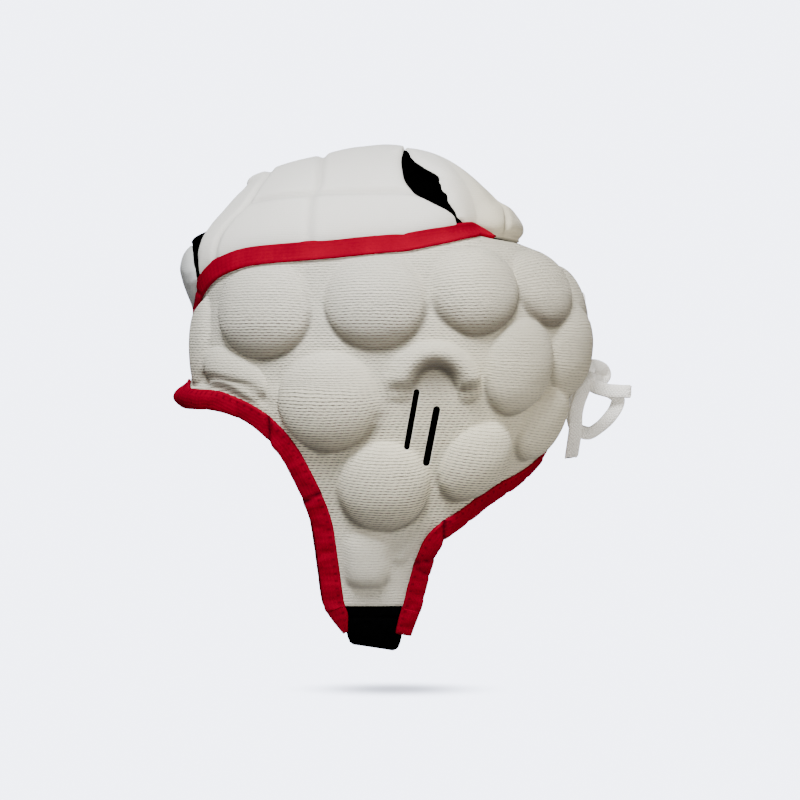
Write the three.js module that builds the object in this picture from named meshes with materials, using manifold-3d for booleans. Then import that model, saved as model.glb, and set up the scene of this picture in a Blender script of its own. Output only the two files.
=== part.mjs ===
// A rugby headguard: two moulded foam side panels with round pads, a quilted crown of four
// padded pieces with open vents between them, black lining, red edge bindings, a chin strap
// and a flat lace tied in a bow at the back.
// Millimetres, +Z up. The wearer faces -Y and the wearer's left is +X.
// The origin is where the top of the head touches the inside of the crown.
import * as THREE from 'three';
import { mergeVertices } from 'three/addons/utils/BufferGeometryUtils.js';
import Module from 'manifold-3d';

// ---------------------------------------------------------------- driving dimensions
const foamThick = 3.6;        // side panel and crown between the pads
const gap = 0.3;              // between neighbouring pieces
const seamHalf = 0.2;         // half of a seam on the centre plane
const liningSeam = 0.6;
const liningThick = 1.0;
const liningGap = 0.85;       // between the foam and its lining, whose facets are wider
const crownLiningGap = 2.0;   // the same under the crown
const liningPast = 0.8;       // how far the lining shows past the edge binding
const bindingWide = 10.5;     // edge binding on the outer face
const bindingThick = 1.4;
const bindingLift = 1.0;      // under a binding's face, above the foam's facets
const bindingHem = 2.3;       // binding turned over the foam's edge
const hemGap = 0.6;           // between that hem and the foam, whose facets differ
const topBandHalf = 5.4;      // half the width of the binding between crown and side panels
const bandLift = 1.1;         // under that one, whose facets are longer
const underPast = 0.6;        // how far the flat foam runs on past a binding's edge
const backSlit = 3.6;         // laced opening up the back
const squareness = { front: 2.5, back: 2.2 };  // exponents of the head's rounded cross-sections
const chinRim = -246.3;       // lowest line of the chin tab, where the strap takes over
const chinFront = 0.45;       // share of the rim at the chin tab's front corner
const chinRear = 0.58;        // and at its rear corner
const strapThick = 3.0;
const laceWide = 6.8;
const laceThick = 2.4;

// The head form: one row for each height, with how far it reaches forward and back, its
// half width, and where along Y it is widest.
const headRows = [
  { z: -264, front: -70, back: 40, half: 42, widest: -12 },
  { z: -243.7, front: -74, back: 46, half: 50, widest: -11 },
  { z: -220, front: -80, back: 53, half: 58, widest: -9 },
  { z: -198, front: -88, back: 62, half: 65.5, widest: -6 },
  { z: -176, front: -97, back: 74, half: 72.5, widest: -3 },
  { z: -159.5, front: -105, back: 84, half: 77, widest: 0 },
  { z: -143, front: -113, back: 92, half: 80.5, widest: 2 },
  { z: -131, front: -117, back: 98, half: 82.5, widest: 3 },
  { z: -122, front: -109.5, back: 102, half: 83.2, widest: 4 },
  { z: -110, front: -108, back: 106, half: 84, widest: 4 },
  { z: -93.5, front: -107, back: 107.5, half: 84, widest: 4 },
  { z: -77, front: -105.5, back: 104, half: 82.5, widest: 4 },
  { z: -65.5, front: -105, back: 98.5, half: 80.5, widest: 4 },
  { z: -56.7, front: -104, back: 90.5, half: 78, widest: 4 },
  { z: -51.2, front: -103, back: 83, half: 75.5, widest: 4 },
  { z: -46.5, front: -101, back: 71.5, half: 73, widest: 4 },
  { z: -40, front: -98, back: 56, half: 69, widest: 4 },
];

// Where the crown meets the side panels, seen from the side, from the front centre back.
const ringLine = [
  { turn: 0, z: -82 },
  { turn: 6, z: -80 },
  { turn: 15, z: -70.5 },
  { y: -92.4, z: -60 },
  { y: -75.4, z: -54.6 },
  { y: -37.4, z: -51.6 },
  { y: -8.8, z: -48.8 },
  { y: 22, z: -44.6 },
  { y: 44, z: -41.2 },
  { y: 56.7, z: -44.6 },
  { turn: 180, z: -46.5 },
];

// The lower rim of a side panel, seen from the side: brow, cheek, chin tab, neck. The share
// says how far round the panel's grid each point lies.
const rimLine = [
  { turn: 0, z: -131, share: 0 },
  { y: -110, z: -136.5, share: 0.09 },
  { y: -97.4, z: -137.3, share: 0.13 },
  { y: -82.5, z: -141.6, share: 0.18 },
  { y: -68.2, z: -151.8, share: 0.23 },
  { y: -52.3, z: -176, share: 0.3 },
  { y: -42.4, z: -201.3, share: 0.36 },
  { y: -40, z: -220, share: 0.4 },
  { y: -35.5, z: chinRim, share: chinFront },
  { y: 16.5, z: chinRim, share: chinRear },
  { y: 22, z: -228, share: 0.62 },
  { y: 27.5, z: -211, share: 0.66 },
  { y: 40.7, z: -198.5, share: 0.71 },
  { y: 56.7, z: -186, share: 0.77 },
  { y: 71, z: -176.5, share: 0.83 },
  { y: 81, z: -166.6, share: 0.89 },
  { turn: 180, z: -149.5, share: 1 },
];

// The pads of a side panel: centre seen from the side, half size along and up, the turn of
// the long axis in degrees, and how far the pad stands proud.
const sidePads = [
  { name: 'temple', y: -70.5, z: -83.2, along: 28, up: 26.4, turn: 0, proud: 10.5 },
  { name: 'above_ear', y: -10, z: -78.6, along: 27, up: 25.5, turn: 0, proud: 10.5 },
  { name: 'upper_back', y: 44.2, z: -72.5, along: 24.5, up: 24, turn: 0, proud: 10 },
  { name: 'rear_upper', y: 83, z: -70, along: 21, up: 22.5, turn: 0, proud: 7 },
  { name: 'rear_top', y: 101, z: -72, along: 15, up: 17, turn: 0, proud: 5 },
  { name: 'cheekbone', y: -35.3, z: -133, along: 27, up: 26.4, turn: 0, proud: 10.5 },
  { name: 'behind_ear', y: 68.5, z: -114.5, along: 20.5, up: 26, turn: -16, proud: 9.5 },
  { name: 'rear_lower', y: 99, z: -104, along: 22, up: 23, turn: 0, proud: 6 },
  { name: 'jaw', y: -5.2, z: -178.5, along: 24.5, up: 24.8, turn: 0, proud: 10.5 },
  { name: 'below_ear', y: 45, z: -165.5, along: 19, up: 24, turn: -38, proud: 9 },
  { name: 'nape', y: 82.5, z: -145.5, along: 20, up: 21, turn: -38, proud: 5.5 },
  { name: 'forehead', y: -104, z: -99, along: 14, up: 26, turn: 0, proud: 5.5 },
  { name: 'brow', y: -87, z: -120, along: 26, up: 10, turn: -14, proud: 5 },
  { name: 'chin', y: -14.5, z: -220.5, along: 11.5, up: 15, turn: 0, proud: 5.5 },
];

// The raised arch over the ear, seen from the side: its centre line.
const earArch = { y: 21.6, z: -127, along: 21.5, up: 23.5, half: 6.4, proud: 7, from: 2, to: 178 };

// The two ear slits of a side: top, bottom, width.
const earSlits = [
  { top: [12.5, -126.2], bottom: [6.8, -158.6], width: 3.1 },
  { top: [23.4, -135.3], bottom: [17.3, -167.4], width: 3.7 },
];

// The crown's centre line before its pads are filled out, from the front vents to the rear.
const ridgeRows = [
  { y: -77, z: -12 },
  { y: -66, z: -8.5 },
  { y: -49.5, z: -3.8 },
  { y: -36.3, z: -0.5 },
  { y: -18.2, z: 3.9 },
  { y: -5, z: 5.2 },
  { y: 8.3, z: 3.8 },
];
const frontShare = 0.1;       // share of the half ring, from the front, where the front vent meets it
const tongueTop = 0.27;       // how far up the shell the front pad reaches, as a short tongue
const rearSeam = 38;          // Y at which the rear vent meets the ring
const crownProud = { front: 6.5, side: 3.5, rear: 2.8 };  // filling of its pads above the shell
const edgeRound = 9;          // width of a crown pad's rounded edge
const quiltDeep = 0.42;       // share of the filling that a quilting line takes away
const quiltWide = 4.2;
const quiltAcross = 0.42;     // level of the line that runs along the left and right pads

// How full the shell's rise is: 1 is round, more is flatter. It starts with the front's value,
// and each of the others is added along the ring.
const rise = { front: 0.8, corner: 0.5, side: -0.3, rear: 0.4 };

// How far the crown's front leans forward by level: on the centre plane, and where the left
// and right pads begin.
const leanRows = [
  { t: 0, centre: 0, side: 0 },
  { t: 0.1, centre: 1.3, side: 1.9 },
  { t: 0.2, centre: 3.6, side: 3.6 },
  { t: 0.31, centre: 5, side: 4.6 },
  { t: 0.4, centre: 1.5, side: 2.7 },
  { t: 0.5, centre: -2, side: -0.8 },
  { t: 0.6, centre: -4.5, side: -3 },
  { t: 0.8, centre: -4.5, side: -3.8 },
  { t: 1, centre: 0, side: 0 },
];

// The rear vent by level: where along the ring the side pad ends and the rear pad starts.
const ventRows = [
  { t: 0, front: 0.69, back: 0.708 },
  { t: 0.16, front: 0.635, back: 0.682 },
  { t: 0.34, front: 0.552, back: 0.65 },
  { t: 0.55, front: 0.552, back: 0.626 },
  { t: 0.8, front: 0.622, back: 0.638 },
  { t: 1, front: 0.69, back: 0.694 },
];

const bandTipY = 57;          // Y of the top binding's rear tips
const bandTaper = 0.07;       // share of the ring over which it narrows there

// The chin strap: outer face at half width, front and rear edge, and how far the front edge
// is lifted above the rear one, from the left tab to the lowest point under the chin.
const strapRows = [
  { x: 49.2, z: -245, front: -24.6, rear: 5.6, lift: 0 },
  { x: 46.8, z: -251, front: -24.6, rear: 5.6, lift: 0 },
  { x: 43.4, z: -258, front: -24.4, rear: 5.6, lift: 0.6 },
  { x: 37, z: -263, front: -23.4, rear: 5, lift: 1.8 },
  { x: 26, z: -266.3, front: -22.8, rear: 4, lift: 3 },
  { x: 13, z: -267.6, front: -22.4, rear: 3.4, lift: 3.8 },
  { x: 0, z: -268, front: -22.4, rear: 3, lift: 4.2 },
];

// Lacing and bow.
const lacingRows = [-72, -88, -104, -119];   // heights of the eyelets
const eyeletX = 8;
const lacingWide = 5.5;
const lacingThick = 1.2;
const lacingGap = 0.5;
const lacingShort = 3;        // how far a bar's ends stop short of the eyelets' heights
const knotAt = { x: 1, y: 108.6, z: -122.4 };
const knotSize = { x: 12, y: 9, z: 13 };
const laceRoutes = {
  lace_loop_low: [
    [1, 107, -129.1], [1, 104.4, -135], [1, 103.2, -142], [1, 104.4, -148], [1, 109.3, -150.2],
    [1, 114.9, -147.2], [1, 120.5, -141.9], [1, 124.5, -135.9], [1, 125.4, -131.2], [0.5, 121.6, -127.8],
    [-0.5, 117.4, -126.4], [-0.5, 113.5, -125.2],
  ],
  lace_end_low: [[4.6, 106.8, -127.8], [5.4, 103.4, -137.5], [5.2, 102, -148.5], [4.6, 99.8, -163.4]],
  lace_end_back: [[5.2, 112.5, -124.2], [5.2, 119, -126.6], [5.2, 126, -127.2], [5, 132, -127.3]],
  lace_loop_high: [
    [-4.4, 109.2, -117.6], [-7, 112, -113.8], [-14, 116, -111.6], [-21.5, 118.4, -113.2],
    [-25.2, 118, -118], [-22, 116.4, -122.6], [-14, 114, -124.4], [-5.9, 110.9, -123.8],
  ],
};

// ---------------------------------------------------------------- small helpers
const radians = Math.PI / 180;
const clamp = (value, low, high) => Math.min(high, Math.max(low, value));
const mix = (a, b, t) => a + (b - a) * t;
const smooth = (low, high, value) => {
  const t = clamp((value - low) / (high - low), 0, 1);
  return t * t * (3 - 2 * t);
};

// A smooth curve through a table's rows that never swings past them.
function follow(keys, values) {
  const slopes = keys.slice(1).map((key, i) => (values[i + 1] - values[i]) / (key - keys[i]));
  const tangents = keys.map((_, i) => {
    if (i === 0) return slopes[0];
    if (i === keys.length - 1) return slopes[slopes.length - 1];
    const product = slopes[i - 1] * slopes[i];
    return product <= 0 ? 0 : (2 * product) / (slopes[i - 1] + slopes[i]);
  });
  return (key) => {
    let i = 0;
    while (i < keys.length - 2 && key > keys[i + 1]) i += 1;
    const span = keys[i + 1] - keys[i];
    const t = clamp((key - keys[i]) / span, 0, 1);
    const a = values[i] * (1 + 2 * t) * (1 - t) ** 2 + tangents[i] * span * t * (1 - t) ** 2;
    const b = values[i + 1] * t * t * (3 - 2 * t) + tangents[i + 1] * span * t * t * (t - 1);
    return a + b;
  };
}

const column = (rows, name) => rows.map((row) => row[name]);

// ---------------------------------------------------------------- the head form
const headZ = column(headRows, 'z');
const head = {
  front: follow(headZ, column(headRows, 'front')),
  back: follow(headZ, column(headRows, 'back')),
  half: follow(headZ, column(headRows, 'half')),
  widest: follow(headZ, column(headRows, 'widest')),
};

// A point of the left half's skin. turn is 0 at the front centre and 180 at the back.
function skin(turn, z) {
  const c = Math.cos(turn * radians);
  const power = 2 / (c > 0 ? squareness.front : squareness.back);
  const reach = c > 0 ? head.widest(z) - head.front(z) : head.back(z) - head.widest(z);
  const x = head.half(z) * Math.max(Math.sin(turn * radians), 0) ** power;
  const y = head.widest(z) - Math.sign(c) * reach * Math.abs(c) ** power;
  return new THREE.Vector3(x, y, z);
}

// The turn at which the skin has a given Y, at one height.
function turnAt(y, z) {
  const widest = head.widest(z);
  const reach = y < widest ? widest - head.front(z) : head.back(z) - widest;
  const square = y < widest ? squareness.front : squareness.back;
  const share = clamp(Math.abs(y - widest) / reach, 0, 1) ** (square / 2);
  const angle = Math.acos(share) / radians;
  return y < widest ? angle : 180 - angle;
}

// The skin's tangents and outward normal.
function skinFrame(turn, z) {
  const step = 0.4;
  const t = clamp(turn, 1.2, 178.8);
  const around = skin(t + step, z).sub(skin(t - step, z)).divideScalar(2 * step);
  const upward = skin(t, z + step).sub(skin(t, z - step)).divideScalar(2 * step);
  const normal = around.clone().cross(upward).normalize();
  return { around, upward, normal };
}

// A place on the skin, a way along it from another place.
function skinShift(turn, z, way) {
  const { around, upward } = skinFrame(turn, z);
  const a = around.dot(around);
  const b = around.dot(upward);
  const c = upward.dot(upward);
  const p = way.dot(around);
  const q = way.dot(upward);
  const det = a * c - b * b;
  return { turn: turn + (p * c - q * b) / det, z: z + (q * a - p * b) / det };
}

// An edge line given from the side becomes a line on the skin, by share of its length.
function skinLine(rows) {
  const points = rows.map((row) => ({ turn: row.turn ?? turnAt(row.y, row.z), z: row.z }));
  let shares = rows.map((row) => row.share);
  if (shares[0] === undefined) {
    shares = [0];
    points.slice(1).forEach((point, i) => {
      const length = Math.hypot((point.turn - points[i].turn) * 1.5, point.z - points[i].z);
      shares.push(shares[i] + length);
    });
    shares = shares.map((share) => share / shares[shares.length - 1]);
  }
  const turn = follow(shares, column(points, 'turn'));
  const z = follow(shares, column(points, 'z'));
  return (share) => ({ turn: turn(share), z: z(share) });
}

const ring = skinLine(ringLine);
const rim = skinLine(rimLine);

const lineSteps = 120;
const sampled = (line) => Array.from({ length: lineSteps + 1 }, (_, i) => {
  const { turn, z } = line(i / lineSteps);
  return skin(turn, z);
});
const ringPoints = sampled(ring);
const rimPoints = sampled(rim);
const nearest = (points, p) => Math.min(...points.map((q) => q.distanceTo(p)));

// ---------------------------------------------------------------- side panels
const padFrames = sidePads.map((pad) => {
  const turn = turnAt(pad.y, pad.z);
  const { around, normal } = skinFrame(turn, pad.z);
  const along = around.clone().normalize();
  return { ...pad, centre: skin(turn, pad.z), along3: along, up3: normal.clone().cross(along) };
});

function padHeight(p) {
  let height = 0;
  for (const pad of padFrames) {
    const way = p.clone().sub(pad.centre);
    if (way.length() > 1.7 * Math.max(pad.along, pad.up)) continue;
    const u = way.dot(pad.along3);
    const v = way.dot(pad.up3);
    const c = Math.cos(pad.turn * radians);
    const s = Math.sin(pad.turn * radians);
    const square = ((u * c + v * s) / pad.along) ** 2 + ((v * c - u * s) / pad.up) ** 2;
    if (square < 1) height = Math.max(height, pad.proud * (1 - square) ** 0.62);
  }
  return height;
}

function archHeight(p) {
  const u = (p.y - earArch.y) / earArch.along;
  const v = (p.z - earArch.z) / earArch.up;
  const angle = clamp(Math.atan2(v, u) / radians + (v < 0 && u < 0 ? 360 : 0), earArch.from, earArch.to);
  const lineY = earArch.y + earArch.along * Math.cos(angle * radians);
  const lineZ = earArch.z + earArch.up * Math.sin(angle * radians);
  const off = Math.hypot(p.y - lineY, p.z - lineZ) / earArch.half;
  return off < 1 ? earArch.proud * (1 - off * off) ** 0.6 : 0;
}

// How far the panel's face stands proud of the head form, kept flat under the bindings.
function proudOf(p) {
  const height = Math.max(padHeight(p), archHeight(p));
  const clearRim = smooth(bindingWide + 0.5, bindingWide + 5, nearest(rimPoints, p));
  const clearRing = smooth(topBandHalf + 0.5, topBandHalf + 6, nearest(ringPoints, p));
  return height * clearRim * clearRing;
}

// The rim moved in along the skin by an inset, square to its own run and mitred at corners.
function insetRim(share, inset) {
  const step = 0.01;
  const at = (value) => {
    const place = rim(clamp(value, 0, 1));
    return skin(place.turn, place.z);
  };
  const place = rim(share);
  const { normal } = skinFrame(place.turn, place.z);
  const middle = at(share);
  const square = (from, to) => normal.clone().cross(to.clone().sub(from)).normalize();
  const before = share > step ? square(at(share - step), middle) : square(middle, at(share + step));
  const after = share < 1 - step ? square(middle, at(share + step)) : before;
  const way = before.clone().add(after).divideScalar(1 + before.dot(after));
  return skinShift(place.turn, place.z, way.multiplyScalar(inset));
}

// A side panel's grid runs from the ring (t = 0) to the rim (t = 1), front to back in s. Its
// first and last rows lie under the bindings, where the foam is flat.
const panelColumns = 18;
const panelRows = 12;
const underBinding = 0.5 / panelRows;
function panelPlace(s, t, inset) {
  const top = ring(s);
  const inner = insetRim(s, bindingWide + underPast);
  const length = skin(top.turn, top.z).distanceTo(skin(inner.turn, inner.z));
  const between = (a, b, share) => ({ turn: mix(a.turn, b.turn, share), z: mix(a.z, b.z, share) });
  const first = between(top, inner, gap / length);
  const second = between(top, inner, (topBandHalf + underPast) / length);
  let place;
  if (t < underBinding) {
    place = between(first, second, t / underBinding);
  } else if (t <= 1 - underBinding) {
    place = between(second, inner, (t - underBinding) / (1 - 2 * underBinding));
  } else {
    place = between(inner, insetRim(s, inset.rim), 1 - (1 - t) / underBinding);
  }
  return seamed(place.turn, place.z, inset.front);
}

// Turns are squeezed a little, so that a panel stops short of the front seam and back slit.
function seamed(turn, z, front) {
  return { turn: mix(turnLimit(front, z, false), turnLimit(backSlit / 2, z, true), turn / 180), z };
}

// The turn at which the skin is a given distance from the centre plane.
function turnLimit(x, z, atBack) {
  const square = atBack ? squareness.back : squareness.front;
  const angle = Math.asin(clamp(x / head.half(z), 0, 1) ** (square / 2)) / radians;
  return atBack ? 180 - angle : angle;
}

function lifted(turn, z, height) {
  return skin(turn, z).addScaledVector(skinFrame(turn, z).normal, height);
}

// ---------------------------------------------------------------- solids from grids
function solid(positions, indices) {
  const geometry = new THREE.BufferGeometry();
  const numbers = positions.flatMap((p) => [p.x, p.y, p.z]);
  geometry.setAttribute('position', new THREE.Float32BufferAttribute(numbers, 3));
  let volume = 0;
  for (let i = 0; i < indices.length; i += 3) {
    const [a, b, c] = indices.slice(i, i + 3).map((index) => positions[index]);
    volume += a.dot(b.clone().cross(c));
  }
  const turned = volume < 0 ? indices.map((_, i) => indices[i - (i % 3) + [0, 2, 1][i % 3]]) : indices;
  geometry.setIndex(turned);
  return geometry;
}

// A closed wall between a fine outer grid and an inner grid of half its steps.
function wall(outer, inner, columns, rows) {
  const positions = [];
  const indices = [];
  const grid = (shape, wide, high) => {
    const first = positions.length;
    for (let j = 0; j <= high; j += 1) {
      for (let i = 0; i <= wide; i += 1) positions.push(shape(i / wide, j / high));
    }
    return (i, j) => first + j * (wide + 1) + i;
  };
  const face = (at, wide, high, flip) => {
    for (let j = 0; j < high; j += 1) {
      for (let i = 0; i < wide; i += 1) {
        const [a, b, c, d] = [at(i, j), at(i + 1, j), at(i + 1, j + 1), at(i, j + 1)];
        if (flip) indices.push(a, c, b, a, d, c);
        else indices.push(a, b, c, a, c, d);
      }
    }
  };
  const border = (at, wide, high) => {
    const loop = [];
    for (let i = 0; i < wide; i += 1) loop.push(at(i, 0));
    for (let j = 0; j < high; j += 1) loop.push(at(wide, j));
    for (let i = wide; i > 0; i -= 1) loop.push(at(i, high));
    for (let j = high; j > 0; j -= 1) loop.push(at(0, j));
    return loop;
  };
  const outAt = grid(outer, 2 * columns, 2 * rows);
  const inAt = grid(inner, columns, rows);
  face(outAt, 2 * columns, 2 * rows, false);
  face(inAt, columns, rows, true);
  const outLoop = border(outAt, 2 * columns, 2 * rows);
  const inLoop = border(inAt, columns, rows);
  inLoop.forEach((a, k) => {
    const b = inLoop[(k + 1) % inLoop.length];
    const [p, q, r] = [0, 1, 2].map((n) => outLoop[(2 * k + n) % outLoop.length]);
    indices.push(q, p, a, q, a, b, r, q, b);
  });
  return solid(positions, indices);
}

// A strip through a list of closed cross-sections, with its ends capped.
function strip(sections, shape) {
  const count = shape.length;
  const positions = sections.flat();
  const indices = [];
  for (let k = 0; k + 1 < sections.length; k += 1) {
    for (let i = 0; i < count; i += 1) {
      const j = (i + 1) % count;
      const [a, b, c, d] = [k * count + i, k * count + j, (k + 1) * count + j, (k + 1) * count + i];
      indices.push(a, b, c, a, c, d);
    }
  }
  const last = (sections.length - 1) * count;
  for (const [a, b, c] of THREE.ShapeUtils.triangulateShape(shape, [])) {
    indices.push(c, b, a, last + a, last + b, last + c);
  }
  return solid(positions, indices);
}

const mirrored = (geometry) => {
  const copy = geometry.clone().scale(-1, 1, 1);
  const index = Array.from(copy.index.array);
  copy.setIndex(index.map((_, i) => index[i - (i % 3) + [0, 2, 1][i % 3]]));
  return copy;
};

// ---------------------------------------------------------------- joining and cutting
const wasm = await Module();
wasm.setup();

function toManifold(geometry) {
  const bare = geometry.clone();
  for (const name of Object.keys(bare.attributes)) if (name !== 'position') bare.deleteAttribute(name);
  const merged = mergeVertices(bare, 1e-4);
  const vertProperties = Float32Array.from(merged.attributes.position.array);
  const triVerts = Uint32Array.from(merged.index.array);
  return new wasm.Manifold(new wasm.Mesh({ numProp: 3, vertProperties, triVerts }));
}

function fromManifold(manifold) {
  const { vertProperties, triVerts, numProp } = manifold.getMesh();
  const geometry = new THREE.BufferGeometry();
  const positions = [];
  for (let i = 0; i < vertProperties.length; i += numProp) {
    positions.push(...vertProperties.slice(i, i + 3));
  }
  geometry.setAttribute('position', new THREE.Float32BufferAttribute(positions, 3));
  geometry.setIndex(Array.from(triVerts));
  return geometry;
}

// A round-ended slot cutter that runs across the panel.
function slitCutter(slit, extra) {
  const [y0, z0] = slit.top;
  const [y1, z1] = slit.bottom;
  const radius = slit.width / 2 + extra;
  const length = Math.hypot(y1 - y0, z1 - z0) - slit.width;
  const outline = new THREE.Shape();
  outline.absarc(length / 2, 0, radius, -Math.PI / 2, Math.PI / 2);
  outline.absarc(-length / 2, 0, radius, Math.PI / 2, 1.5 * Math.PI);
  const cutter = new THREE.ExtrudeGeometry(outline, { depth: 70, bevelEnabled: false, curveSegments: 4 });
  const along = new THREE.Vector3(0, y1 - y0, z1 - z0).normalize();
  const across = new THREE.Vector3(1, 0, 0);
  const basis = new THREE.Matrix4().makeBasis(along, across.clone().cross(along), across);
  basis.setPosition(50, (y0 + y1) / 2, (z0 + z1) / 2);
  return cutter.applyMatrix4(basis);
}

function withSlits(geometry, extra) {
  let body = toManifold(geometry);
  for (const slit of earSlits) body = body.subtract(toManifold(slitCutter(slit, extra)));
  return fromManifold(body);
}

// ---------------------------------------------------------------- the crown
const ridgeY = follow(ridgeRows.map((_, i) => i), column(ridgeRows, 'y'));
const ridgeZ = follow(column(ridgeRows, 'y'), column(ridgeRows, 'z'));

// The share of the ring, front to back, at which it has a given Y.
function ringShare(y) {
  let low = 0;
  let high = 1;
  for (let i = 0; i < 40; i += 1) {
    const middle = (low + high) / 2;
    const { turn, z } = ring(middle);
    if (skin(turn, z).y < y) low = middle;
    else high = middle;
  }
  return (low + high) / 2;
}
const rearShare = ringShare(rearSeam);
const leanCentre = follow(column(leanRows, 't'), column(leanRows, 'centre'));
const leanSide = follow(column(leanRows, 't'), column(leanRows, 'side'));

// The crown's shell: s runs along the ring and t climbs from the ring to the ridge.
function crownShell(s, t) {
  const foot = ring(s);
  const base = skin(foot.turn, foot.z);
  const along = clamp((s - frontShare) / (rearShare - frontShare), 0, 1);
  const topY = ridgeY(along * (ridgeRows.length - 1));
  const topZ = ridgeZ(topY);
  const power = rise.front + rise.corner * smooth(0.02, frontShare, s)
    + rise.side * smooth(0.15, 0.4, s) + rise.rear * smooth(0.7, 1, s);
  const over = Math.cos(t * 90 * radians) ** power;
  const up = Math.sin(t * 90 * radians) ** power;
  const aside = smooth(0.05, frontShare, s);
  const behind = smooth(frontShare, 0.3, s);
  const lean = leanCentre(t) * (1 - aside) + leanSide(t) * aside * (1 - behind);
  return new THREE.Vector3(base.x * over, mix(topY, base.y, over) - lean, mix(base.z, topZ, up));
}

function crownFrame(s, t) {
  const step = 0.004;
  const a = clamp(s, step, 1 - step);
  const b = clamp(t, 0.03, 0.97);
  const alongS = crownShell(a + step, b).sub(crownShell(a - step, b)).divideScalar(2 * step);
  const alongT = crownShell(a, b + step).sub(crownShell(a, b - step)).divideScalar(2 * step);
  return { alongS, alongT, normal: alongS.clone().cross(alongT).normalize() };
}

// How far up the shell a distance from the ring lies.
const aboveRing = (s, t) => crownShell(s, t).distanceTo(crownShell(s, 0));
function crownClimb(s, distance) {
  let low = 0;
  let high = 0.5;
  for (let i = 0; i < 24; i += 1) {
    const middle = (low + high) / 2;
    if (aboveRing(s, middle) < distance) low = middle;
    else high = middle;
  }
  return low;
}

// Edges of the crown's pads, as shares of the half ring.
const ventFront = follow(column(ventRows, 't'), column(ventRows, 'front'));
const ventBack = follow(column(ventRows, 't'), column(ventRows, 'back'));
const ventLeast = 1.6;        // half the width of the rear vent and of the front slits at their ends
const leastShare = (s, t) => ventLeast / Math.max(crownFrame(s, t).alongS.length(), 20);
const crownEdges = {
  backOfFront: (t) => {
    const closing = 1 - (t / tongueTop) ** 4 * 0.85;
    return (frontShare - leastShare(frontShare * 0.9, t)) * Math.sqrt(closing);
  },
  frontOfSide: (t) => frontShare + leastShare(frontShare * 1.1, t),
  backOfSide: (t) => ventFront(t) - leastShare(ventFront(t), t),
  frontOfBack: (t) => ventBack(t) + leastShare(ventBack(t), t),
};

// The front and rear pieces run past the centre plane, where the shell is mirrored.
const foldShare = (s) => (s < 0 ? -s : s > 1 ? 2 - s : s);

const bell = (distance) => Math.exp(-((distance / quiltWide) ** 2));

// Filling of a crown piece at one place: rounded off at its edges, pinched at its quilting.
function crownProudAt(s, t, piece) {
  const { alongS, alongT } = crownFrame(s, t);
  const scaleS = alongS.length();
  const scaleT = alongT.length();
  const away = [aboveRing(s, t) - topBandHalf - underPast, (piece.topEdge - t) * scaleT];
  for (const share of piece.fromEdges(s, t)) away.push(share * scaleS);
  const edge = Math.min(...away.map((d) => Math.sqrt(1 - (1 - clamp(d / edgeRound, 0, 1)) ** 2)));
  let quilt = 1;
  for (const line of piece.linesAlong) {
    quilt *= 1 - quiltDeep * bell((s - line) * scaleS);
  }
  for (const line of piece.linesAcross) {
    quilt *= 1 - quiltDeep * bell((t - line) * scaleT);
  }
  return piece.proud * edge * quilt;
}

const crownPieces = {
  front: {
    from: (t) => -crownEdges.backOfFront(t),
    to: crownEdges.backOfFront,
    fromEdges: (s, t) => [crownEdges.backOfFront(t) - s],
    linesAlong: [],
    linesAcross: [],
    proud: crownProud.front,
    topEnd: tongueTop,
    topEdge: tongueTop,
    columns: 6,
    rows: 4,
  },
  side: {
    from: crownEdges.frontOfSide,
    to: crownEdges.backOfSide,
    fromEdges: (s, t) => [s - crownEdges.frontOfSide(t), crownEdges.backOfSide(t) - s],
    linesAlong: [ringShare(-92.4), ringShare(-44)],
    linesAcross: [quiltAcross],
    proud: crownProud.side,
    topEnd: 0.997,
    topEdge: 1,
    columns: 8,
    rows: 6,
  },
  rear: {
    from: crownEdges.frontOfBack,
    to: (t) => 2 - crownEdges.frontOfBack(t),
    fromEdges: (s, t) => [s - crownEdges.frontOfBack(t)],
    linesAlong: [0.93],
    linesAcross: [],
    proud: crownProud.rear,
    topEnd: 0.92,
    topEdge: 1,
    columns: 10,
    rows: 4,
  },
};

const crownLift = 1;          // how far above the ring a crown piece starts
function crownPoint(s, t, height) {
  const half = foldShare(s);
  const point = crownShell(half, t).addScaledVector(crownFrame(half, t).normal, height);
  point.x = Math.max(point.x, seamHalf);
  if (half !== s) point.x *= -1;
  return point;
}

// A crown piece's first half row lies under the top binding.
function crownLevel(piece, v, s) {
  const start = crownClimb(foldShare(s), crownLift);
  const under = crownClimb(foldShare(s), topBandHalf + underPast);
  const share = 0.5 / piece.rows;
  return v < share ? mix(start, under, v / share) : mix(under, piece.topEnd, (v - share) / (1 - share));
}

// A face of a crown piece: its filled outer face, or one at a given height off the shell.
function crownFace(piece, height) {
  return (u, v) => {
    const t = crownLevel(piece, v, mix(piece.from(0), piece.to(0), u));
    const s = mix(piece.from(t), piece.to(t), u);
    return crownPoint(s, t, height ?? crownProudAt(foldShare(s), t, piece));
  };
}

// ---------------------------------------------------------------- edge bindings
// Cross-section of an edge binding: in from the rim along the skin, and out from the skin.
const edgeSection = (wide) => [
  [0, -foamThick], [bindingHem, -foamThick], [bindingHem, bindingLift],
  [wide, bindingLift], [wide - 0.4, bindingLift + bindingThick], [0.5, bindingLift + bindingThick],
];
const asShape = (section) => section.map(([x, y]) => new THREE.Vector2(x, y));

// Below the foam the bindings run on beside the chin strap and narrow to their ends.
const faceTail = [
  { y: -35.5, z: chinRim, wide: bindingWide },
  { y: -33.5, z: -252, wide: 8.6 },
  { y: -28.5, z: -258, wide: 3.6 },
];
const neckTail = [
  { y: 16.5, z: chinRim, wide: bindingWide },
  { y: 14.5, z: -253, wide: 8.4 },
  { y: 9.8, z: -259, wide: 3.6 },
];

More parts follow.
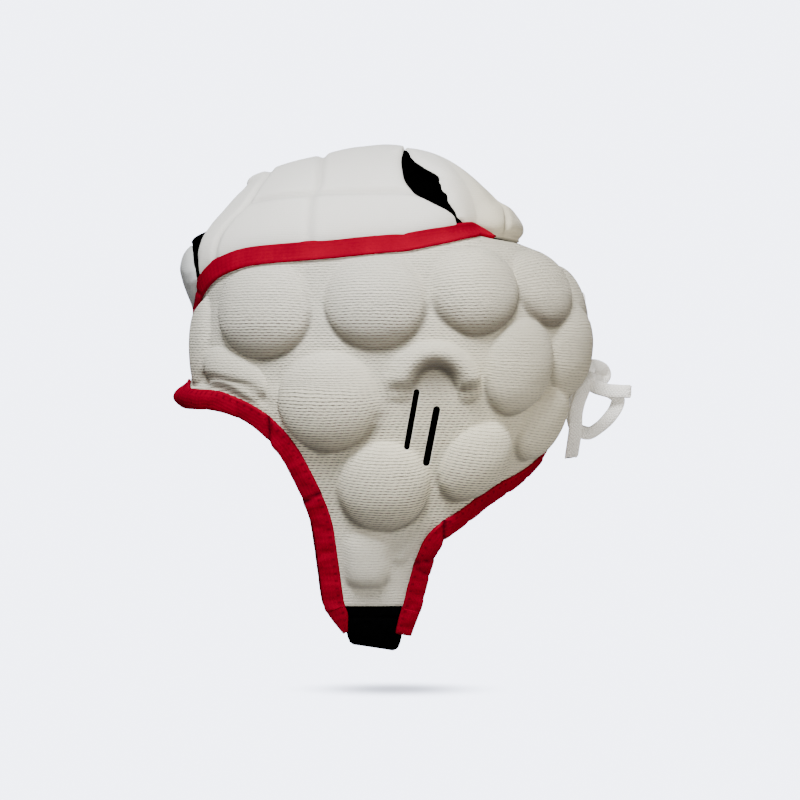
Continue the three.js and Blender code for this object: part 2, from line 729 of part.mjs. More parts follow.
// Sections of a binding through a list of places; side is +1 where the panel lies to the
// left of the way the list runs.
function rimSections(places, side) {
  return places.map((place, k) => {
    const before = places[Math.max(k - 1, 0)];
    const after = places[Math.min(k + 1, places.length - 1)];
    const forward = skin(after.turn, after.z).sub(skin(before.turn, before.z)).normalize();
    const { normal } = skinFrame(place.turn, place.z);
    const into = normal.clone().cross(forward).normalize().multiplyScalar(side);
    return edgeSection(place.wide).map(([inward, out]) => {
      let shifted;
      if (place.share === undefined) {
        shifted = skinShift(place.turn, place.z, into.clone().multiplyScalar(inward));
      } else {
        const moved = insetRim(place.share, inward);
        shifted = seamed(moved.turn, moved.z, seamHalf);
      }
      return lifted(shifted.turn, shifted.z, out);
    });
  });
}

// Places along the rim between two shares, on the panel's own columns, and then down a tail.
function rimPlaces(from, to, tail) {
  const places = [];
  const step = 0.5 / panelColumns;
  const count = Math.ceil(Math.abs(to - from) / step);
  for (let k = 0; k < count; k += 1) {
    const share = from + Math.sign(to - from) * k * step;
    const place = rim(share);
    places.push({ ...seamed(place.turn, place.z, seamHalf), wide: bindingWide, share });
  }
  for (const row of tail) {
    places.push({ ...seamed(turnAt(row.y, row.z), row.z, seamHalf), wide: row.wide });
  }
  return places;
}

const across = (section) => section.map((p) => new THREE.Vector3(-p.x, p.y, p.z));

// The flat binding over the joint between crown and side panels, narrowing at its rear tips.
function topBandSection(share, half) {
  const place = ring(share);
  const { upward, normal } = skinFrame(place.turn, place.z);
  const forward = ring(Math.min(share + 0.004, 1));
  const way = skin(forward.turn, forward.z).sub(skin(place.turn, place.z)).normalize();
  const down = skinShift(place.turn, place.z, way.clone().cross(normal).normalize().multiplyScalar(half));
  const crown = crownFrame(share, 0.03);
  const climb = crownClimb(share, half);
  const rows = [
    (out) => lifted(down.turn, down.z, out),
    (out) => skin(place.turn, place.z).addScaledVector(normal.clone().add(crown.normal).normalize(), out),
    (out) => crownShell(share, climb).addScaledVector(crown.normal, out),
  ];
  const inner = rows.map((row) => row(bandLift));
  const outer = rows.map((row) => row(bandLift + bindingThick)).reverse();
  return [...inner, ...outer];
}

// ---------------------------------------------------------------- lace
// A bar of the lacing, which lies over the pads between two eyelets.
function lacingBar(ends, height) {
  const steps = 4;
  const [[fromSide, fromZ], [toSide, toZ]] = ends;
  const way = new THREE.Vector3((toSide - fromSide) * eyeletX, 0, toZ - fromZ).normalize();
  const wide = new THREE.Vector3(way.z, 0, -way.x).multiplyScalar(lacingWide / 2);
  const sections = [];
  for (let k = 0; k <= steps; k += 1) {
    const x = mix(fromSide, toSide, k / steps) * eyeletX;
    const z = mix(fromZ, toZ, k / steps);
    const edges = [-1, 1].map((sign) => {
      const p = new THREE.Vector3(x, 0, z).addScaledVector(wide, sign);
      const { y } = skin(turnLimit(Math.abs(p.x), p.z, true), p.z);
      return new THREE.Vector3(p.x, y + lacingLift(p.z), p.z);
    });
    const out = new THREE.Vector3(0, 1, 0);
    const lift = (p, d) => p.clone().addScaledVector(out, d);
    sections.push([
      lift(edges[0], height), lift(edges[1], height),
      lift(edges[1], height + lacingThick), lift(edges[0], height + lacingThick),
    ]);
  }
  return strip(sections, asShape([[0, 0], [1, 0], [1, 1], [0, 1]]));
}

// How far the panels stand proud beside the back slit.
function lacingLift(z) {
  let most = 0;
  for (const x of [backSlit / 2, eyeletX / 2, eyeletX]) {
    const turn = turnLimit(x, z, true);
    most = Math.max(most, proudOf(skin(turn, z)));
  }
  return most;
}

function knotSolid() {
  const knot = new THREE.SphereGeometry(1, 10, 8);
  knot.scale(knotSize.x / 2, knotSize.y / 2, knotSize.z / 2);
  knot.translate(knotAt.x, knotAt.y, knotAt.z);
  return knot;
}

// A stretch of lace: an oval section along a smooth route.
function laceTube(points) {
  const route = points.map(([x, y, z]) => new THREE.Vector3(x, y, z));
  const path = new THREE.CatmullRomCurve3(route, false, 'centripetal');
  const section = new THREE.Shape();
  section.absellipse(0, 0, laceThick / 2, laceWide / 2, 0, 2 * Math.PI);
  const steps = Math.max(4, Math.round(path.getLength() / (laceWide * 0.75)));
  return new THREE.ExtrudeGeometry(section, {
    steps,
    curveSegments: 4,
    bevelEnabled: false,
    extrudePath: path,
  });
}

// ---------------------------------------------------------------- assembling
const colours = {
  knit: { color: 0xd9d5ca, roughness: 0.85, metalness: 0 },
  binding: { color: 0xc40025, roughness: 0.7, metalness: 0 },
  lining: { color: 0x0c0c0d, roughness: 0.9, metalness: 0 },
  strap: { color: 0x08080a, roughness: 0.8, metalness: 0 },
  lace: { color: 0xdedad0, roughness: 0.9, metalness: 0 },
};
const group = new THREE.Group();
function add(name, geometry, material) {
  const mesh = new THREE.Mesh(geometry, new THREE.MeshStandardMaterial(colours[material]));
  mesh.name = name;
  group.add(mesh);
}

const foamBevel = 1.4;        // the foam's inner face stops this much further from the rim
const foamInset = { rim: bindingHem + hemGap, front: seamHalf };
const foamOuter = (s, t) => {
  const place = panelPlace(s, t, foamInset);
  const p = skin(place.turn, place.z);
  return lifted(place.turn, place.z, proudOf(p));
};
const foamInner = (s, t) => {
  const place = panelPlace(s, t, { ...foamInset, rim: foamInset.rim + foamBevel });
  return lifted(place.turn, place.z, -foamThick);
};
const leftPanel = withSlits(wall(foamOuter, foamInner, panelColumns, panelRows), 0);
add('left_side_panel', leftPanel, 'knit');
add('right_side_panel', mirrored(leftPanel), 'knit');

// The lining keeps the foam's grid, but its last row runs on past the edge binding.
const liningInset = { rim: -liningPast, front: liningSeam };
const liningTop = -foamThick - liningGap;
const liningFace = (height) => (s, t) => {
  const place = panelPlace(s, t, liningInset);
  return lifted(place.turn, place.z, height);
};
const leftLining = withSlits(
  wall(liningFace(liningTop), liningFace(liningTop - liningThick), panelColumns / 2, panelRows / 2),
  0.2,
);
add('left_side_lining', leftLining, 'lining');
add('right_side_lining', mirrored(leftLining), 'lining');

const crownPad = (piece) => wall(
  crownFace(piece),
  crownFace(piece, -foamThick),
  piece.columns,
  piece.rows,
);
const { side } = crownPieces;
add('crown_front_pad', crownPad(crownPieces.front), 'knit');
add('crown_rear_pad', crownPad(crownPieces.rear), 'knit');
const crownSide = crownPad(side);
add('crown_left_pad', crownSide, 'knit');
add('crown_right_pad', mirrored(crownSide), 'knit');

// The crown's lining runs on behind the open vents, in two halves joined along the ridge.
const crownLiningFace = (height) => (u, v) => crownPoint(u, mix(0.02, 0.997, v), height);
const crownLining = wall(
  crownLiningFace(-foamThick - crownLiningGap),
  crownLiningFace(-foamThick - crownLiningGap - liningThick),
  8,
  3,
);
add('left_crown_lining', crownLining, 'lining');
add('right_crown_lining', mirrored(crownLining), 'lining');

// Bindings.
const facePlaces = rimPlaces(0, chinFront, faceTail);
const leftFace = rimSections(facePlaces, 1);
const rightFace = leftFace.slice(1).map(across).reverse();
add('face_binding', strip([...rightFace, ...leftFace], asShape(edgeSection(3))), 'binding');
const neckPlaces = rimPlaces(1, chinRear, neckTail);
const neckBinding = strip(rimSections(neckPlaces, -1), asShape(edgeSection(3)));
add('left_neck_binding', neckBinding, 'binding');
add('right_neck_binding', mirrored(neckBinding), 'binding');

const bandTip = ringShare(bandTipY);
const bandSteps = 26;
const leftBand = [];
for (let k = 0; k <= bandSteps; k += 1) {
  const share = bandTip * (k / bandSteps);
  const taper = clamp((bandTip - share) / bandTaper, 0, 1);
  leftBand.push(topBandSection(share, mix(0.6, topBandHalf, Math.sqrt(taper))));
}
const rightBand = leftBand.slice(1).map(across).reverse();
const bandShape = [[-2, 0], [0, -0.5], [2, 0], [2, 1], [0, 1.5], [-2, 1]];
add('top_binding', strip([...rightBand, ...leftBand], asShape(bandShape)), 'binding');

// Chin strap: from the left tab under the chin to the right one.
const leftStrap = strapRows.map((row, k) => {
  const before = strapRows[Math.max(k - 1, 0)];
  const after = strapRows[k + 1] ?? { x: -row.x - 10, z: row.z };
  const inward = new THREE.Vector3(after.z - before.z, 0, before.x - after.x).normalize();
  const front = new THREE.Vector3(row.x, row.front, row.z + row.lift / 2);
  const rear = new THREE.Vector3(row.x, row.rear, row.z - row.lift / 2);
  const within = [rear, front].map((p) => p.clone().addScaledVector(inward, strapThick));
  return [front, rear, ...within];
});
const rightStrap = leftStrap.slice(0, -1).map(across).reverse();
const strapShape = [[0, 0], [1, 0], [1, 1], [0, 1]];
add('chin_strap', strip([...leftStrap, ...rightStrap], asShape(strapShape)), 'strap');

// Lacing over the back slit: bars that cross it from eyelet to eyelet, one set over the other.
lacingRows.slice(1).forEach((low, i) => {
  for (const [layer, from, to] of [['under', 1, -1], ['over', -1, 1]]) {
    const ends = [[from, lacingRows[i] - lacingShort], [to, low + lacingShort]];
    const bar = lacingBar(ends, layer === 'under' ? lacingGap : 2 * lacingGap + lacingThick);
    add(`lacing_${layer}_${i + 1}`, bar, 'lace');
  }
});

// The bow.
add('lace_knot', knotSolid(), 'lace');
for (const [name, points] of Object.entries(laceRoutes)) add(name, laceTube(points), 'lace');

export default group;
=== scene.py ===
import bmesh
import bpy
import numpy as np
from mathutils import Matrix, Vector, noise


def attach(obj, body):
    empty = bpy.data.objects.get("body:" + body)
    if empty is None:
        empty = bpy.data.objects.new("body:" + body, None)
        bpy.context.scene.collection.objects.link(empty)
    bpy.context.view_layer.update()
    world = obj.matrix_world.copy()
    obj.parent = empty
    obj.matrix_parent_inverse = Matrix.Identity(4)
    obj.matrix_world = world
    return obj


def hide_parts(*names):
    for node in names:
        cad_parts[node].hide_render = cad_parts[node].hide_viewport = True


# A laced rugby headguard. Lengths are millimetres in the tables and metres in Blender.
# The wearer faces -Y, the wearer's left is +X, and the origin is inside the top of the crown.
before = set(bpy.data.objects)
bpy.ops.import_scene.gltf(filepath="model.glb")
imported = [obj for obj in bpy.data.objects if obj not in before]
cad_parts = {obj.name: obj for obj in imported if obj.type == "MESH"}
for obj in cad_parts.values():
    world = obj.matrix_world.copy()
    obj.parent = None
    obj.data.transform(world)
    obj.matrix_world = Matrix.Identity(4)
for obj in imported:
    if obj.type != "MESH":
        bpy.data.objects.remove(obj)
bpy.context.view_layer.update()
bpy.ops.object.select_all(action="DESELECT")
mm = 0.001
print("frame loaded:", len(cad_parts), "nodes")


# camera and lamps

# The camera looks along -X at the wearer's left side.
view = {
    "distance": 3.2,  # metres from the centre plane
    "turned": -1.5,  # degrees from square on, towards the face
    "across": 0.0055,
    "height": -0.132,
    "shows": 0.44,  # width that fills the picture at the centre plane
    "sensor": 36,
    "farthest": 20,
}


def addCamera():
    data = bpy.data.cameras.new("camera")
    data.sensor_width = view["sensor"]
    data.lens = view["sensor"] * view["distance"] / view["shows"]
    data.clip_end = view["farthest"]
    camera = bpy.data.objects.new("camera", data)
    turned = np.radians(view["turned"])
    away = Vector((np.cos(turned), np.sin(turned), 0))
    camera.location = Vector((0, view["across"], view["height"])) + away * view["distance"]
    camera.rotation_euler = (-away).to_track_quat("-Z", "Y").to_euler()
    bpy.context.collection.objects.link(camera)
    bpy.context.scene.camera = camera


# Places and sizes in metres, power in watts. All the lamps aim at one point.
lampAim = (0, 0, -0.13)
lamps = {
    "key": {"place": (1.15, -0.25, 1.35), "size": 0.6, "power": 73, "colour": (0.97, 0.985, 1)},
    "fill": {"place": (2.4, 0.1, -0.3), "size": 1.6, "power": 37, "colour": (1, 0.96, 0.9)},
    "low": {"place": (1.1, 1.9, -0.2), "size": 0.6, "power": 20, "colour": (1, 0.93, 0.82)},
    "far": {"place": (-2.2, -0.3, 0.35), "size": 1.6, "power": 26, "colour": (1, 1, 1)},  # the wearer's right side
}


def addLamps():
    for name, lamp in lamps.items():
        data = bpy.data.lights.new(name, "AREA")
        data.shape = "DISK"
        data.size = lamp["size"]
        data.energy = lamp["power"]
        data.color = lamp["colour"]
        light = bpy.data.objects.new(name, data)
        light.location = lamp["place"]
        aim = Vector(lampAim) - Vector(lamp["place"])
        light.rotation_euler = aim.to_track_quat("-Z", "Y").to_euler()
        bpy.context.collection.objects.link(light)
    print("placed the lamps")


# materials

def fromHex(code):
    channels = [int(code[i : i + 2], 16) / 255 for i in (0, 2, 4)]
    linear = [c / 12.92 if c <= 0.04045 else ((c + 0.055) / 1.055) ** 2.4 for c in channels]
    return (*linear, 1)


# Adds a node. Each input gets a value or another node's output.
def addNode(tree, kind, inputs=None, **properties):
    node = tree.nodes.new("ShaderNode" + kind)
    for name, value in properties.items():
        setattr(node, name, value)
    for name, value in (inputs or {}).items():
        if isinstance(value, bpy.types.NodeSocket):
            tree.links.new(value, node.inputs[name])
        else:
            node.inputs[name].default_value = value
    return node


def newMaterial(name):
    material = bpy.data.materials.new(name)
    material.use_nodes = True
    tree = material.node_tree
    return material, tree, tree.nodes["Principled BSDF"]


# A cloth's material, with its own map in metres.
def newCloth(name):
    material, tree, cloth = newMaterial(name)
    return material, tree, cloth, addNode(tree, "UVMap", uv_map="cloth").outputs["UV"]


# What every cloth ends with: its colour, its relief in millimetres, and how it takes the light.
def finishCloth(tree, cloth, colour, height, strength, deep, **surface):
    bump = addNode(tree, "Bump", {"Strength": strength, "Distance": deep * mm, "Height": height})
    tree.links.new(colour, cloth.inputs["Base Color"])
    tree.links.new(bump.outputs["Normal"], cloth.inputs["Normal"])
    for name, value in surface.items():
        cloth.inputs[name.replace("_", " ")].default_value = value


# The scale at which a wave texture repeats at a pitch in millimetres, on a map in metres.
def waveScale(pitch):
    return 2 * np.pi / (20 * pitch * mm)


# The knits. Pitch, float length and depth are in millimetres. lit and shade say how dark the
# hollows look where the cloth faces up and where it turns down.
knitLook = {
    "side": {
        "name": "side_warp_knit", "rowPitch": 1.48, "floatLength": 3.2, "bridge": 0.5, "bump": 1, "deep": 0.9,
        "lit": 0.16, "shade": 2.9, "colour": "E0DDD0", "warm": "E8E3D6", "groove": "6E675A",
    },
    "crown": {
        "name": "crown_warp_knit", "rowPitch": 1.1, "floatLength": 1.6, "bridge": 0.4, "bump": 0.5, "deep": 0.2,
        "lit": 0.1, "shade": 0.5, "colour": "E4E1DA", "warm": "EAE8E2", "groove": "B8B4AA",
    },
}
# The front pad's knit is the crown's knit made greyer: painted shade, for the front pad that faces away from the
# light.
knitLook["front"] = {
    **knitLook["crown"], "name": "painted_shade_front_warp_knit", "colour": "B3B6B6", "warm": "BABBB9", "groove": "8E908F",
}
# What every knit shares, in millimetres: the rows wander by waver over waverLong, and fuzz, patches
# and stains are about as long as given. Then come the values kept on the mesh that change the
# colour: attribute, how much at most, and the colour that it turns to.
knitWear = {
    "waver": 1.1, "waverLong": 7.1429, "fuzz": 0.55556, "patch": 3.125, "stain": 45.455,
    # The cloth turns creamier where the mesh says so.
    "creamTint": ("creamTint", 1, "ECE4CA"),
    # under and crease are painted shade: under where the cloth turns down, towards the back, under the ear arch and
    # in the brow dip; crease along the pads' lower edges and the crown's quilting lines.
    "darkened": [("under", 0.76, "7D7568"), ("crease", 0.75, "4A443A")],
}


# A colour that turns to another where the mesh says so.
def turnedTo(tree, colour, attribute, most, other):
    where = addNode(tree, "Attribute", attribute_name=attribute)
    amount = addNode(tree, "Math", {0: where.outputs["Fac"], 1: most}, operation="MULTIPLY")
    return addNode(tree, "Mix", {0: amount.outputs[0], 6: colour.outputs[2], 7: fromHex(other)}, data_type="RGBA")


# Warp-knitted polyester bonded to foam: rows of short floats with a thin shadow under each.
def knitFabric(look):
    material, tree, cloth, place = newCloth(look["name"])
    waver = addNode(tree, "TexNoise", {"Vector": place, "Scale": 1000 / knitWear["waverLong"], "Detail": 2})
    reach = knitWear["waver"] * mm
    drift = addNode(
        tree, "VectorMath",
        {0: waver.outputs["Color"], 1: (reach, reach, 0), 2: (-reach / 2, -reach / 2, 0)}, operation="MULTIPLY_ADD",
    )
    moved = addNode(tree, "VectorMath", {0: place, 1: drift.outputs[0]}, operation="ADD")
    parts = addNode(tree, "SeparateXYZ", {0: moved.outputs[0]})
    row = addNode(tree, "Math", {0: parts.outputs["Y"], 1: 1000 / look["rowPitch"]}, operation="MULTIPLY")
    whole = addNode(tree, "Math", {0: row.outputs[0]}, operation="ROUND")
    along = addNode(tree, "Math", {0: parts.outputs["X"], 1: 1000 / look["floatLength"]}, operation="MULTIPLY")
    # every other row is shifted by half a float
    stagger = addNode(tree, "Math", {0: whole.outputs[0], 1: 0.5, 2: along.outputs[0]}, operation="MULTIPLY_ADD")
    waves = []
    for count, operation in ((row, "COSINE"), (stagger, "SINE")):
        turn = addNode(tree, "Math", {0: count.outputs[0], 1: 2 * np.pi}, operation="MULTIPLY")
        waves.append(addNode(tree, "Math", {0: turn.outputs[0]}, operation=operation).outputs[0])
    groove = addNode(
        tree, "MapRange", {"Value": waves[0], "From Min": 0.1, "From Max": 1},
        interpolation_type="SMOOTHSTEP",
    )
    dash = addNode(
        tree, "MapRange",
        {"Value": waves[1], "From Min": -0.7, "From Max": 0.6, "To Min": look["bridge"], "To Max": 1},
        interpolation_type="SMOOTHSTEP",
    )
    hollow = addNode(tree, "Math", {0: groove.outputs[0], 1: dash.outputs[0]}, operation="MULTIPLY")
    fuzz = addNode(tree, "TexNoise", {"Vector": place, "Scale": 1000 / knitWear["fuzz"], "Detail": 3})
    level = addNode(tree, "Math", {0: hollow.outputs[0], 1: -1, 2: fuzz.outputs["Fac"]}, operation="MULTIPLY_ADD")
    # yarn colour, a little stained, and creamier where the mesh says so
    stain = addNode(tree, "TexNoise", {"Vector": place, "Scale": 1000 / knitWear["stain"], "Detail": 3})
    clean = addNode(
        tree, "Mix",
        {0: stain.outputs["Fac"], 6: fromHex(look["colour"]), 7: fromHex(look["warm"])}, data_type="RGBA",
    )
    ground = turnedTo(tree, clean, *knitWear["creamTint"])
    # the hollows of the knit fill with shadow where the cloth turns down, away from the light
    facing = addNode(tree, "NewGeometry")
    tilt = addNode(tree, "SeparateXYZ", {0: facing.outputs["Normal"]})
    depth = addNode(
        tree, "MapRange",
        {
            "Value": tilt.outputs["Z"], "From Min": 0.45, "From Max": -0.55, "To Min": look["lit"],
            "To Max": look["shade"],
        },
    )
    # how strong the painted shade in the hollows is: in patches, and fainter where the mesh says so
    patchy = addNode(tree, "TexNoise", {"Vector": place, "Scale": 1000 / knitWear["patch"], "Detail": 2})
    crisp = addNode(tree, "Attribute", attribute_name="crisp")
    worn = addNode(tree, "Math", {0: patchy.outputs["Fac"], 1: crisp.outputs["Fac"]}, operation="MULTIPLY")
    strength = addNode(tree, "Math", {0: depth.outputs[0], 1: worn.outputs[0]}, operation="MULTIPLY")
    shade = addNode(
        tree, "Math", {0: hollow.outputs[0], 1: strength.outputs[0]}, operation="MULTIPLY", use_clamp=True
    )
    colour = addNode(
        tree, "Mix", {0: shade.outputs[0], 6: ground.outputs[2], 7: fromHex(look["groove"])},
        data_type="RGBA",
    )
    # then painted shade from the mesh: where the cloth turns down, towards the back, and in creases
    for row in knitWear["darkened"]:
        colour = turnedTo(tree, colour, *row)
    finishCloth(
        tree, cloth, colour.outputs[2], level.outputs[0], look["bump"], look["deep"], Roughness=0.82,
        Sheen_Weight=0.12, Sheen_Roughness=0.5, Specular_IOR_Level=0.25,
    )
    return material


# The red tape's colours, and its sizes in millimetres.
tapeLook = {
    "worn": "6A0018", "bright": "970022", "deep": "29000A", "ribPitch": 3.4907, "weftPitch": 1.9635,
    "relief": 0.12, "wornLong": 16.667, "stitchPitch": 4.2, "stitchDark": 0.4,
}


# Woven polyester binding tape: fine cross ribs, dull, darker at its stitches and in its folds.
def wovenTape():
    material, tree, cloth, place = newCloth("woven_polyester_tape")
    ribScale, weftScale = waveScale(tapeLook["ribPitch"]), waveScale(tapeLook["weftPitch"])
    ribs = addNode(
        tree, "TexWave",
        {"Vector": place, "Scale": ribScale, "Distortion": 1.5, "Detail": 2, "Detail Scale": 3}, bands_direction="X",
    )
    weft = addNode(
        tree, "TexWave", {"Vector": place, "Scale": weftScale, "Distortion": 1, "Detail": 1}, bands_direction="Y"
    )
    weave = addNode(tree, "Math", {0: ribs.outputs["Fac"], 1: weft.outputs["Fac"]}, operation="ADD")
    worn = addNode(tree, "TexNoise", {"Vector": place, "Scale": 1000 / tapeLook["wornLong"], "Detail": 4})
    tone = addNode(
        tree, "Mix",
        {0: worn.outputs["Fac"], 6: fromHex(tapeLook["worn"]), 7: fromHex(tapeLook["bright"])}, data_type="RGBA",
    )
    # a line of stitches near the inner edge
    line = addNode(tree, "Attribute", attribute_name="seam")
    parts = addNode(tree, "SeparateXYZ", {0: place})
    turn = 2 * np.pi / (tapeLook["stitchPitch"] * mm)
    pitch = addNode(tree, "Math", {0: parts.outputs["X"], 1: turn}, operation="MULTIPLY")
    wave = addNode(tree, "Math", {0: pitch.outputs[0]}, operation="COSINE")
    stitch = addNode(tree, "MapRange", {"Value": wave.outputs[0], "From Min": 0.35, "From Max": 0.85})
    near = addNode(tree, "MapRange", {"Value": line.outputs["Fac"], "From Min": 0.3, "From Max": 0.55})
    sewn = addNode(tree, "Math", {0: stitch.outputs[0], 1: near.outputs[0]}, operation="MULTIPLY")
    faint = addNode(tree, "Math", {0: sewn.outputs[0], 1: tapeLook["stitchDark"]}, operation="MULTIPLY")
    # and shadow in the folds
    fold = addNode(tree, "Attribute", attribute_name="fold")
    marks = addNode(tree, "Math", {0: faint.outputs[0], 1: fold.outputs["Fac"]}, operation="MAXIMUM", use_clamp=True)
    colour = addNode(
        tree, "Mix", {0: marks.outputs[0], 6: tone.outputs[2], 7: fromHex(tapeLook["deep"])},
        data_type="RGBA",
    )
    finishCloth(
        tree, cloth, colour.outputs[2], weave.outputs[0], 0.5, tapeLook["relief"], Roughness=0.8,
        Specular_IOR_Level=0,
    )
    return material


# Black brushed nylon and foam: they swallow the light, with a faint nap. Pitch and relief in millimetres.
blackLook = {
    "black_brushed_lining": {"colour": "020202", "pitch": 2.618, "relief": 0.1},
    "black_nylon_webbing": {"colour": "070708", "pitch": 4.488, "relief": 0.25},
    "black_foam_core": {"colour": "040404", "pitch": 0.7854, "relief": 0.05},
}
blackNap = 3.3333  # how long the nap's patches are


def blackCloth(name):
    look = blackLook[name]
    material, tree, cloth, place = newCloth(name)
    weave = addNode(
        tree, "TexWave", {"Vector": place, "Scale": waveScale(look["pitch"]), "Distortion": 1.2, "Detail": 2},
        bands_direction="DIAGONAL",
    )
    nap = addNode(tree, "TexNoise", {"Vector": place, "Scale": 1000 / blackNap, "Detail": 3})
    colour = addNode(
        tree, "Mix", {0: nap.outputs["Fac"], 6: fromHex("000000"), 7: fromHex(look["colour"])},
        data_type="RGBA",
    )
    finishCloth(
        tree, cloth, colour.outputs[2], weave.outputs["Fac"], 0.5, look["relief"], Roughness=1, Specular_IOR_Level=0
    )
    return material


laceLook = {"hollow": "F0EDE6", "strand": "FFFEFB", "slant": 0.7, "pitch": 1.3659, "relief": 0.3}


# Flat polyester braid: two sets of strands crossing on the slant.
def braidedLace():
    material, tree, cloth, place = newCloth("braided_polyester_lace")
    strands = []
    for slant in (1, -1):
        turned = addNode(tree, "Mapping", {"Vector": place, "Rotation": (0, 0, slant * laceLook["slant"])})
        strand = addNode(
            tree, "TexWave",
            {"Vector": turned.outputs[0], "Scale": waveScale(laceLook["pitch"]), "Distortion": 0.8, "Detail": 1},
            bands_direction="X",
        )
        strands.append(strand.outputs["Fac"])
    crossed = addNode(tree, "Math", {0: strands[0], 1: strands[1]}, operation="MULTIPLY")
    colour = addNode(
        tree, "Mix",
        {0: crossed.outputs[0], 6: fromHex(laceLook["hollow"]), 7: fromHex(laceLook["strand"])}, data_type="RGBA",
    )
    finishCloth(
        tree, cloth, colour.outputs[2], crossed.outputs[0], 0.8, laceLook["relief"], Roughness=0.85,
        Sheen_Weight=0.1, Specular_IOR_Level=0.25,
    )
    return material


# mesh building

def makePiece(name, points, faces, uv, material):
    mesh = bpy.data.meshes.new(name)
    mesh.from_pydata((np.asarray(points) * mm).tolist(), [], faces)
    layer = mesh.uv_layers.new(name="cloth")
    corner = np.empty(len(mesh.loops), dtype=int)
    mesh.loops.foreach_get("vertex_index", corner)
    layer.data.foreach_set("uv", (np.asarray(uv) * mm)[corner].ravel())
    build = bmesh.new()
    build.from_mesh(mesh)
    bmesh.ops.recalc_face_normals(build, faces=build.faces)
    build.to_mesh(mesh)
    build.free()
    mesh.polygons.foreach_set("use_smooth", np.ones(len(mesh.polygons), dtype=bool))
    mesh.materials.append(material)
    mesh.update()
    piece = bpy.data.objects.new(name, mesh)
    bpy.context.collection.objects.link(piece)
    return piece


def standFor(piece, slotName, *nodes):
    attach(piece, "root")
    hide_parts(*nodes)
    return piece


# A closed tube through rows of closed sections, all with the same number of points.
def tubePiece(name, sections, material):
    sections = np.asarray(sections, dtype=float)
    count, around = sections.shape[:2]
    index = np.arange(count * around).reshape(count, around)
    a, b = index[:-1], index[1:]
    faces = np.stack([a, b, np.roll(b, -1, 1), np.roll(a, -1, 1)], -1).reshape(-1, 4).tolist()
    faces += [index[0].tolist(), index[-1][::-1].tolist()]
    middles = sections.mean(1)
    run = np.concatenate([[0], np.cumsum(np.linalg.norm(np.diff(middles, axis=0), axis=1))])
    girth = np.linalg.norm(np.diff(sections, axis=1), axis=2).cumsum(1)
    girth = np.concatenate([np.zeros((count, 1)), girth], 1)
    uv = np.stack([np.repeat(run[:, None], around, 1), girth], -1).reshape(-1, 2)
    return makePiece(name, sections.reshape(-1, 3), faces, uv, material)


# A wall between an outer grid and an inner grid with steps twice as long; side is -1 for a right piece.
def wallPiece(name, side, outer, inner, cloth, material, inside=None):
    high, wide = outer.shape[:2]
    outIndex = np.arange(high * wide).reshape(high, wide)
    inHigh, inWide = inner.shape[:2]
    inIndex = outIndex.size + np.arange(inHigh * inWide).reshape(inHigh, inWide)

    def quads(index):
        parts = [index[:-1, :-1], index[:-1, 1:], index[1:, 1:], index[1:, :-1]]
        return np.stack(parts, -1).reshape(-1, 4).tolist()

    def border(index):
        sides = [index[0, :-1], index[:-1, -1], index[-1, :0:-1], index[:0:-1, 0]]
        return np.concatenate(sides).tolist()

    faces = quads(outIndex) + [face[::-1] for face in quads(inIndex)]
    outLoop, inLoop = border(outIndex), border(inIndex)
    for k, a in enumerate(inLoop):
        b = inLoop[(k + 1) % len(inLoop)]
        p, q, r = (outLoop[(2 * k + n) % len(outLoop)] for n in range(3))
        faces += [(q, p, a), (q, a, b), (r, q, b)]
    points = np.concatenate([outer.reshape(-1, 3), inner.reshape(-1, 3)]) * [side, 1, 1]
    uv = np.concatenate([cloth.reshape(-1, 2), cloth[::2, ::2].reshape(-1, 2)])
    piece = makePiece(name, points, faces, uv, material)
    if inside:
        piece.data.materials.append(inside)
        isInside = np.arange(len(faces)) >= (high - 1) * (wide - 1)
        piece.data.polygons.foreach_set("material_index", isInside.astype(int))
    return piece


# Values for each point of a wall's outer grid, kept on the mesh for its material.
def keepOnMesh(piece, fields):
    for name, field in fields.items():
        values = np.zeros(len(piece.data.vertices))
        values[: field.size] = field.ravel()
        piece.data.attributes.new(name, "FLOAT", "POINT").data.foreach_set("value", values)


def mirrorOf(points):
    return points * np.array([-1, 1, 1])


# small helpers

def unit(vectors):
    return vectors / np.maximum(np.linalg.norm(vectors, axis=-1, keepdims=True), 1e-9)


def dot(a, b):
    return (a * b).sum(-1)


def mix(a, b, t):
    return a + (b - a) * t


def smooth(low, high, value):
    t = np.clip((value - low) / (high - low), 0, 1)
    return t * t * (3 - 2 * t)


def softened(field, times=1):
    for _ in range(times):
        padded = np.pad(field, 1, mode="edge")
        field = (padded[:-2, 1:-1] + 2 * padded[1:-1, 1:-1] + padded[2:, 1:-1]) / 4
        padded = np.pad(field, 1, mode="edge")
        field = (padded[1:-1, :-2] + 2 * padded[1:-1, 1:-1] + padded[1:-1, 2:]) / 4
    return field


def rounded(distance, width):
    return np.sqrt(np.clip(1 - (1 - np.clip(distance / width, 0, 1)) ** 2, 0, 1))


# Gentle unevenness, the same on every run: size is the length of its waves.
def uneven(points, size, seed=0):
    flat = np.asarray(points).reshape(-1, 3) / size + seed
    values = [noise.noise(Vector(p)) for p in flat]
    return np.array(values).reshape(np.asarray(points).shape[:-1])


